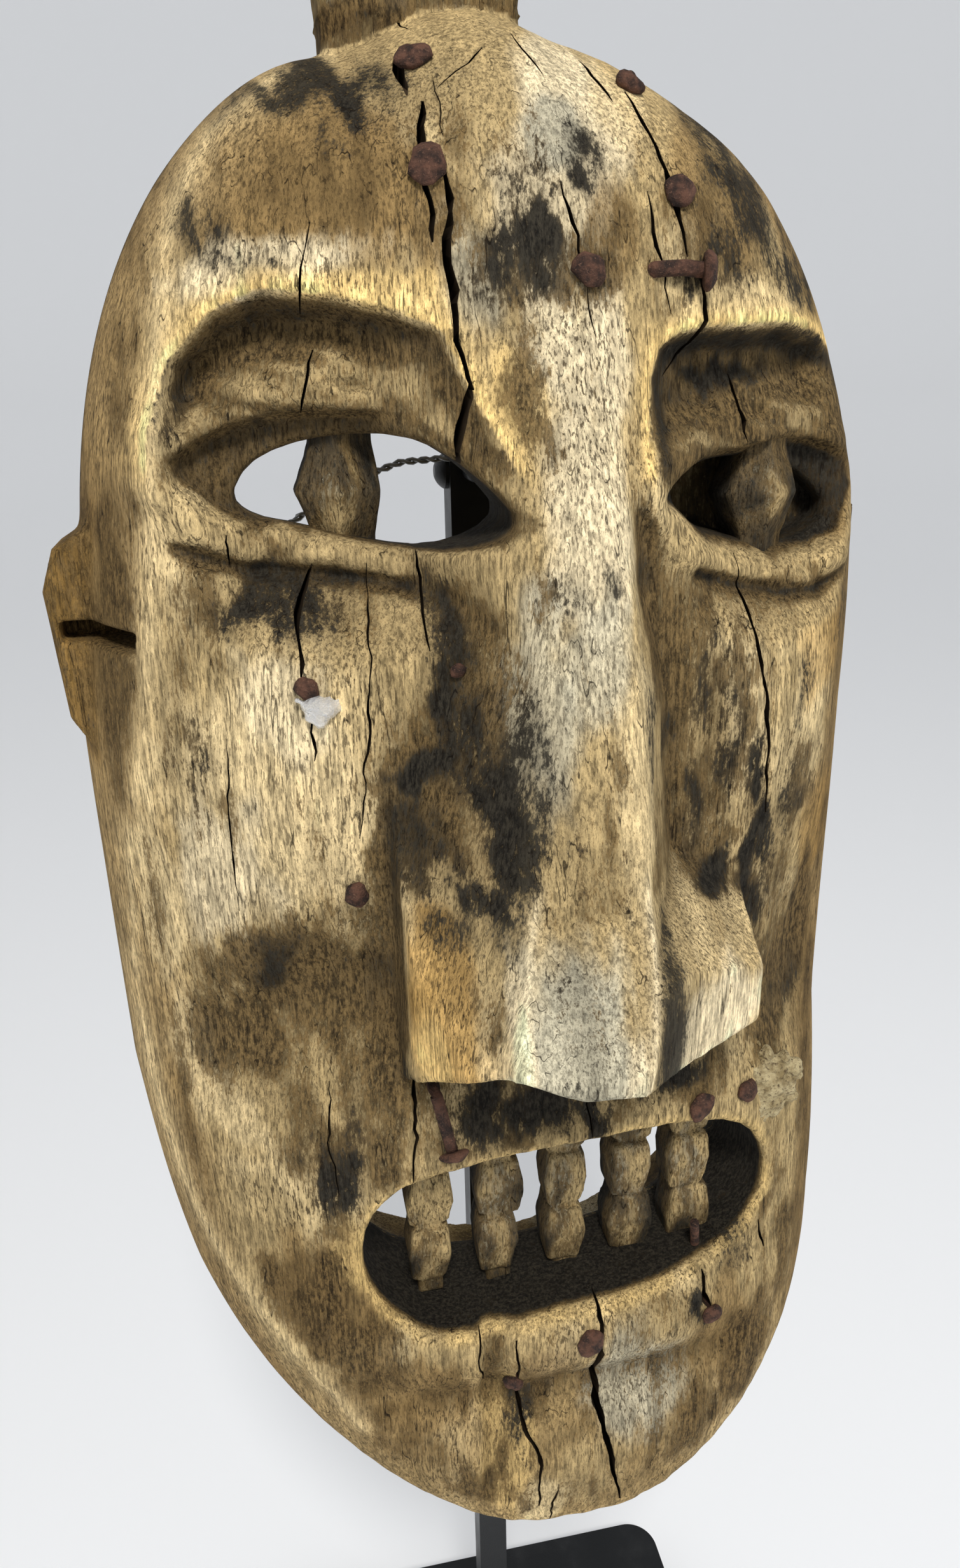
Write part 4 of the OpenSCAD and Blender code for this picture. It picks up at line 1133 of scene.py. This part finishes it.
for n, tooth_x in enumerate(TOOTH_X):
    carved_bar(f"tooth_{n + 1}", f"tooth_bar_{n + 1}", tooth_field(n),
               (tooth_x - 7, TOOTH_Y - 3, TOOTH_LOW - 3),
               (tooth_x + 7, TOOTH_Y + TOOTH_DEEP + 2, TOOTH_LOW + 3 * TOOTH_BLOCK + 4), 80 + n)


def pupil_field(cx, cy, cz, turn):
    """A faceted post with a pointed waist, flatter on its right side."""
    c, s = math.cos(math.radians(turn)), math.sin(math.radians(turn))

    def field(x, y, z):
        dx, dy = c * (x - cx) + s * (y - cy), c * (y - cy) - s * (x - cx)
        up = np.abs(z - cz)
        left = (-dx - 7.9 + 0.42 * np.minimum(up, 7.5)) * 0.92
        right = dx - 6.2 + 0.12 * np.minimum(up, 7.5)
        front_left = (-dy * 0.86 - dx * 0.5) - 5.6 + 0.30 * np.minimum(up, 7.5)
        front_right = (-dy * 0.86 + dx * 0.5) - 4.8 + 0.34 * np.minimum(up, 7.5)
        back = dy - 5.5
        solid = np.maximum(soft_max(left, front_left, 0.5), soft_max(right, front_right, 0.5))
        solid = soft_max(solid, back, 0.6)
        grain = 0.18 * flat_noise(x[:, 0, :], z[:, 0, :], 1.4, 7, 77)[:, None, :]
        return np.maximum(solid, up - 12.5) + grain
    return field


for name, cx, cy, cz, turn, seed in (("left", -35, 20, 229.5, 0, 91), ("right", 39, 21, 226, 12, 95)):
    carved_bar(f"pupil_{name}", f"pupil_post_{name}", pupil_field(cx, cy, cz, turn),
               (cx - 11, cy - 9, cz - 15), (cx + 11, cy + 9, cz + 15), seed)

# ---- Iron nails
NAIL_R, HEAD_HIGH = 1.2, 1.7
HEAD_PROUD = 0.2                 # the gap under a driven nail's head
NAIL_LONG = 10


def side_axes(axis):
    axis = np.array(axis, float) / np.linalg.norm(axis)
    other = np.array([0.0, 0.0, 1.0]) if abs(axis[2]) < 0.8 else np.array([1.0, 0.0, 0.0])
    u = np.cross(other, axis)
    u /= np.linalg.norm(u)
    return axis, u, np.cross(axis, u)


def add_nail(parts, place, out, length, head, seed):
    """A forged nail: out is the way its head faces."""
    axis, u, w = side_axes(out)
    sides = 14
    profile = [(NAIL_R * 0.4, -length), (NAIL_R, -length + 3), (NAIL_R, -0.4), (head * 0.90, -0.2),
               (head * 1.03, 0.35), (head * 0.98, 0.85), (head * 0.74, 1.35), (head * 0.4, HEAD_HIGH)]
    turn = 2 * np.pi * np.arange(sides) / sides
    ragged = 1 + 0.10 * np.cos(turn * 2 + seed) + 0.06 * np.cos(turn * 5 + 2.1 * seed)
    ragged = ragged + 0.04 * np.sin(turn * 3 - seed)
    rings = []
    for step, (radius, height) in enumerate(profile):
        uneven = ragged if step > 2 else 1 + 0 * ragged
        lift = 0.18 * np.cos(turn * 2 + 1.7 * seed + step) if step > 3 else 0 * turn
        rings.append([place + axis * (height + lift[j]) + radius * uneven[j] * (u * np.cos(a) + w * np.sin(a))
                      for j, a in enumerate(turn)])
    parts.tube(rings)


def surface_nail(parts, x, z, seed, head):
    """A nail driven into the face."""
    d = 2.0
    place = np.array([x, float(front_y(x, z)), z])
    out = np.array([float(front_y(x + d, z) - front_y(x - d, z)) / (2 * d), -1.0,
                    float(front_y(x, z + d) - front_y(x, z - d)) / (2 * d)])
    out /= np.linalg.norm(out)
    add_nail(parts, place + out * HEAD_PROUD, out, NAIL_LONG, head, seed)


def add_rod(parts, route, radius, sides=10):
    """A round rod through the points of a route."""
    route = np.array(route, float)
    rings = []
    for k, point in enumerate(route):
        along = route[min(k + 1, len(route) - 1)] - route[max(k - 1, 0)]
        _, u, w = side_axes(along)
        turn = 2 * np.pi * np.arange(sides) / sides
        rings.append([point + radius * (u * math.cos(a) + w * math.sin(a)) for a in turn])
    parts.tube(rings)


def iron_piece(name, parts, node):
    piece = mesh_object(name, parts.points, parts.faces, [RUST])
    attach(piece, "mask")
    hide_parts(node)


# Each group of nails: its CAD node, then places across and up and the head's radius.
NAIL_GROUPS = [
    ("crown_nails", [(-20.5, 290.5, 2.7), (13, 288, 2.2)]),
    ("forehead_nails", [(-21, 275, 2.9), (17.4, 272, 2.6), (1.6, 261, 2.5)]),
    ("cheek_nails", [(-43.6, 201, 1.9), (-38, 164.5, 2.2), (-19.6, 203, 1.2)]),
    ("lip_nails", [(26, 111.5, 2.8), (38, 109.5, 2.5)]),
    ("chin_nails", [(-12, 49, 2.2), (3, 61, 2.9), (31, 58, 2.2)]),
]
WIRE_NAILS = [(-76, 196), (62, 196)]
for seed, (node, places) in enumerate(NAIL_GROUPS):
    parts = Parts()
    for k, (x, z, head) in enumerate(places):
        surface_nail(parts, x, z, 3.7 * seed + 1.9 * k, head)
    iron_piece("forged_" + node, parts, node)


def staple_nail():
    parts = Parts()
    y = float(front_y(17, 261)) - 1.3
    add_rod(parts, [(12, y + 8, 261), (12, y + 1, 261), (12.6, y + 0.1, 261.2), (14, y - 0.2, 261.3),
                    (17, y - 0.3, 261.4), (21, y, 261)], NAIL_R)
    add_nail(parts, np.array([20.5, y, 261.0]), (1, -0.25, 0), 2.5, 2.9, 5.0)
    iron_piece("staple_over_crack", parts, "staple_nail")


def bent_nail():
    parts = Parts()
    y = float(front_y(-25, 118)) - 1.0
    add_rod(parts, [(-26.5, y + 8, 125), (-26.4, y + 1, 124.6), (-26.2, y, 123.8), (-25.6, y - 0.2, 121),
                    (-24.6, y - 0.2, 116), (-23.6, y - 0.1, 111)], NAIL_R)
    add_nail(parts, np.array([-23.5, y - 0.2, 110.8]), (0.2, -0.45, -0.9), 2.5, 2.8, 8.0)
    iron_piece("knocked_over_nail", parts, "bent_nail")


def mouth_nail():
    parts = Parts()
    add_rod(parts, [(30, 9.3, 66.5), (29.6, 8.4, 70), (29, 7.4, 74), (28.3, 6.2, 78.5)], 0.95)
    iron_piece("thin_mouth_nail", parts, "mouth_nail")


def rim_nails():
    parts = Parts()
    for seed, (x, z) in enumerate(WIRE_NAILS):
        add_nail(parts, np.array([x, RIM_Y + 5.6, z]), (0, 1, 0), 17, 2.5, seed * 2.0)
    iron_piece("forged_wire_nails", parts, "wire_nails")


staple_nail()
bent_nail()
mouth_nail()
rim_nails()


def lump(name, node, material, middle, size, rough, seed):
    """A knobbly blob with half-sizes size, its bumps rough millimetres high."""
    middle = np.array(middle, float)

    def field(x, y, z):
        d = np.sqrt(((x - middle[0]) / size[0]) ** 2 + ((y - middle[1]) / size[1]) ** 2
                    + ((z - middle[2]) / size[2]) ** 2) - 1
        bumps = flat_noise(x[:, 0, :], z[:, 0, :], 2.1, 2.1, seed, 3)[:, None, :]
        return d * min(size) + rough * bumps
    reach = np.array(size) + 2.5
    points, faces = solid_from_field(field, middle - reach, middle + reach, BAR_STEP)
    piece = mesh_object(name, points, faces, [material])
    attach(piece, "mask")
    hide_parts(node)


lump("resin_drop", "resin_lump", resin_material(),
     (-42, float(front_y(-42, 198)) - 0.4, 198), (3.4, 2.2, 2.6), 0.7, 13)
lump("filler_patch", "putty_patch", putty_material(),
     (43.5, float(front_y(43.5, 107)) + 1.4, 107), (8.5, 2.6, 8.5), 0.6, 17)


def twisted_wire():
    """Two strands twisted together, a turn round each nail and over the hook."""
    def turn_round(nail, angles, ys):
        r = 2.0
        return [(nail[0] + r * math.cos(a), y, nail[1] + r * math.sin(a)) for a, y in zip(angles, ys)]
    turns = np.radians(30 * np.arange(12))
    span = [(-60, 57.2, 207), (-45, 57.6, 218), (-30, 58, 227), (-20, 58.4, 230.2), (-6, 58.5, 230.8),
            (8, 58.4, 230.2), (18, 58, 227), (33, 57.6, 218), (48, 57.2, 207)]
    route = turn_round(WIRE_NAILS[0], np.radians(90) - turns[::-1], 54 + 0.22 * np.arange(12)) + span
    route += turn_round(WIRE_NAILS[1], np.radians(90) + turns, 56.4 - 0.22 * np.arange(12))
    route = np.array(route)
    lengths = np.r_[0, np.cumsum(np.linalg.norm(np.diff(route, axis=0), axis=1))]
    count = int(lengths[-1] / 0.9)
    along = np.linspace(0, lengths[-1], count)
    line = np.stack([np.interp(along, lengths, route[:, k]) for k in range(3)], -1)
    parts = Parts()
    pitch, strand_r = 5.0, 0.42
    for strand in range(2):
        strand_line = []
        for k, point in enumerate(line):
            _, u, w = side_axes(line[min(k + 1, count - 1)] - line[max(k - 1, 0)])
            a = 2 * math.pi * along[k] / pitch + strand * math.pi
            strand_line.append(point + strand_r * (u * math.cos(a) + w * math.sin(a)))
        add_rod(parts, strand_line, 0.4, 6)
    steel = bright_steel_material("galvanised_wire", (0.42, 0.42, 0.41), 0.45)
    piece = mesh_object("twisted_wire", parts.points, parts.faces, [steel])
    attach(piece, "mask")
    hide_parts("hanging_wire")


twisted_wire()

# ---- The stand's CAD pieces keep their shape and take these materials
STEEL = bright_steel_material("plain_steel", (0.5, 0.5, 0.5), 0.35)
STAND_MATERIALS = {
    "base_plate": BLACK_STEEL, "post": BLACK_STEEL, "wire_hook": BLACK_STEEL, "clamp_bolt": BLACK_STEEL,
    "post_screw": STEEL, "hook_nut": STEEL, "chin_rest": cork_material(), "felt_pad": felt_material(),
}
for node, material in STAND_MATERIALS.items():
    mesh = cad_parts[node].data
    mesh.materials.clear()
    mesh.materials.append(material)

# ---- Stage, light and camera
CAMERA_AT = Vector((-0.0441, -0.2349, 0.4286))
CAMERA_AZIMUTH, CAMERA_PITCH, CAMERA_ROLL = -11.0, 21.0, -1.2


def make_camera():
    azimuth, pitch = math.radians(CAMERA_AZIMUTH), math.radians(CAMERA_PITCH)
    level = math.cos(pitch)
    back = Vector((math.sin(azimuth) * level, -math.cos(azimuth) * level, math.sin(pitch)))
    turn = back.to_track_quat("Z", "Y").to_matrix().to_4x4()
    roll = Matrix.Rotation(math.radians(CAMERA_ROLL), 4, "Z")
    data = bpy.data.cameras.new("camera")
    data.lens = 26.0
    data.sensor_width = 36.0
    data.clip_start = 0.01
    camera = add_object("camera", data)
    camera.matrix_world = Matrix.Translation(CAMERA_AT) @ turn @ roll
    bpy.context.scene.camera = camera


make_camera()


def floor_material():
    """Pale and matt, with a little light of its own that keeps the backdrop bright."""
    material = bpy.data.materials.new("pale_floor")
    material.use_nodes = True
    shader = material.node_tree.nodes["Principled BSDF"]
    shader.inputs["Base Color"].default_value = (0.78, 0.79, 0.8, 1)
    shader.inputs["Roughness"].default_value = 0.9
    shader.inputs["Emission Color"].default_value = (0.97, 0.98, 1.0, 1)
    shader.inputs["Emission Strength"].default_value = 0.2
    return material


def make_dish():
    """A pale floor that curves up into a low round backdrop."""
    profile = [(0.0, 0.0), (1.2, 0.0), (2.2, 0.0), (2.9, 0.06), (3.4, 0.3), (3.7, 0.8), (3.8, 1.6),
               (3.8, 3.0)]
    sides = 64
    points, faces = [], []
    for radius, height in profile[1:]:
        for k in range(sides):
            turn = 2 * math.pi * k / sides
            points.append((radius * math.cos(turn), radius * math.sin(turn), height))
    points.append((0, 0, 0))
    centre = len(points) - 1
    for k in range(sides):
        n = (k + 1) % sides
        faces.append((centre, k, n))
        for ring in range(len(profile) - 2):
            a = ring * sides
            faces.append((a + k, a + sides + k, a + sides + n, a + n))
    mesh = bpy.data.meshes.new("floor")
    mesh.from_pydata(points, [], faces)
    for polygon in mesh.polygons:
        polygon.use_smooth = True
    mesh.materials.append(floor_material())
    floor = add_object("floor", mesh)


def area_light(name, place, target, size, power, colour):
    data = bpy.data.lights.new(name, "AREA")
    data.shape = "DISK"
    data.size = size
    data.energy = power
    data.color = colour
    light = add_object(name, data)
    aim = (Vector(target) - Vector(place)).to_track_quat("-Z", "Y").to_matrix().to_4x4()
    light.matrix_world = Matrix.Translation(place) @ aim


make_dish()
FACE_MIDDLE = (0.0, -0.04, 0.36)
area_light("key", (-0.1, -0.9, 1.35), FACE_MIDDLE, 0.3, 15, (1, 0.98, 0.95))
area_light("fill", (0.9, -0.7, 0.6), FACE_MIDDLE, 0.9, 2, (0.93, 0.96, 1))

world = bpy.data.worlds.new("studio")
world.use_nodes = True
world.node_tree.nodes["Background"].inputs["Color"].default_value = (0.75, 0.76, 0.78, 1)
world.node_tree.nodes["Background"].inputs["Strength"].default_value = 0.4
bpy.context.scene.world = world
bpy.context.scene.view_settings.view_transform = "Standard"
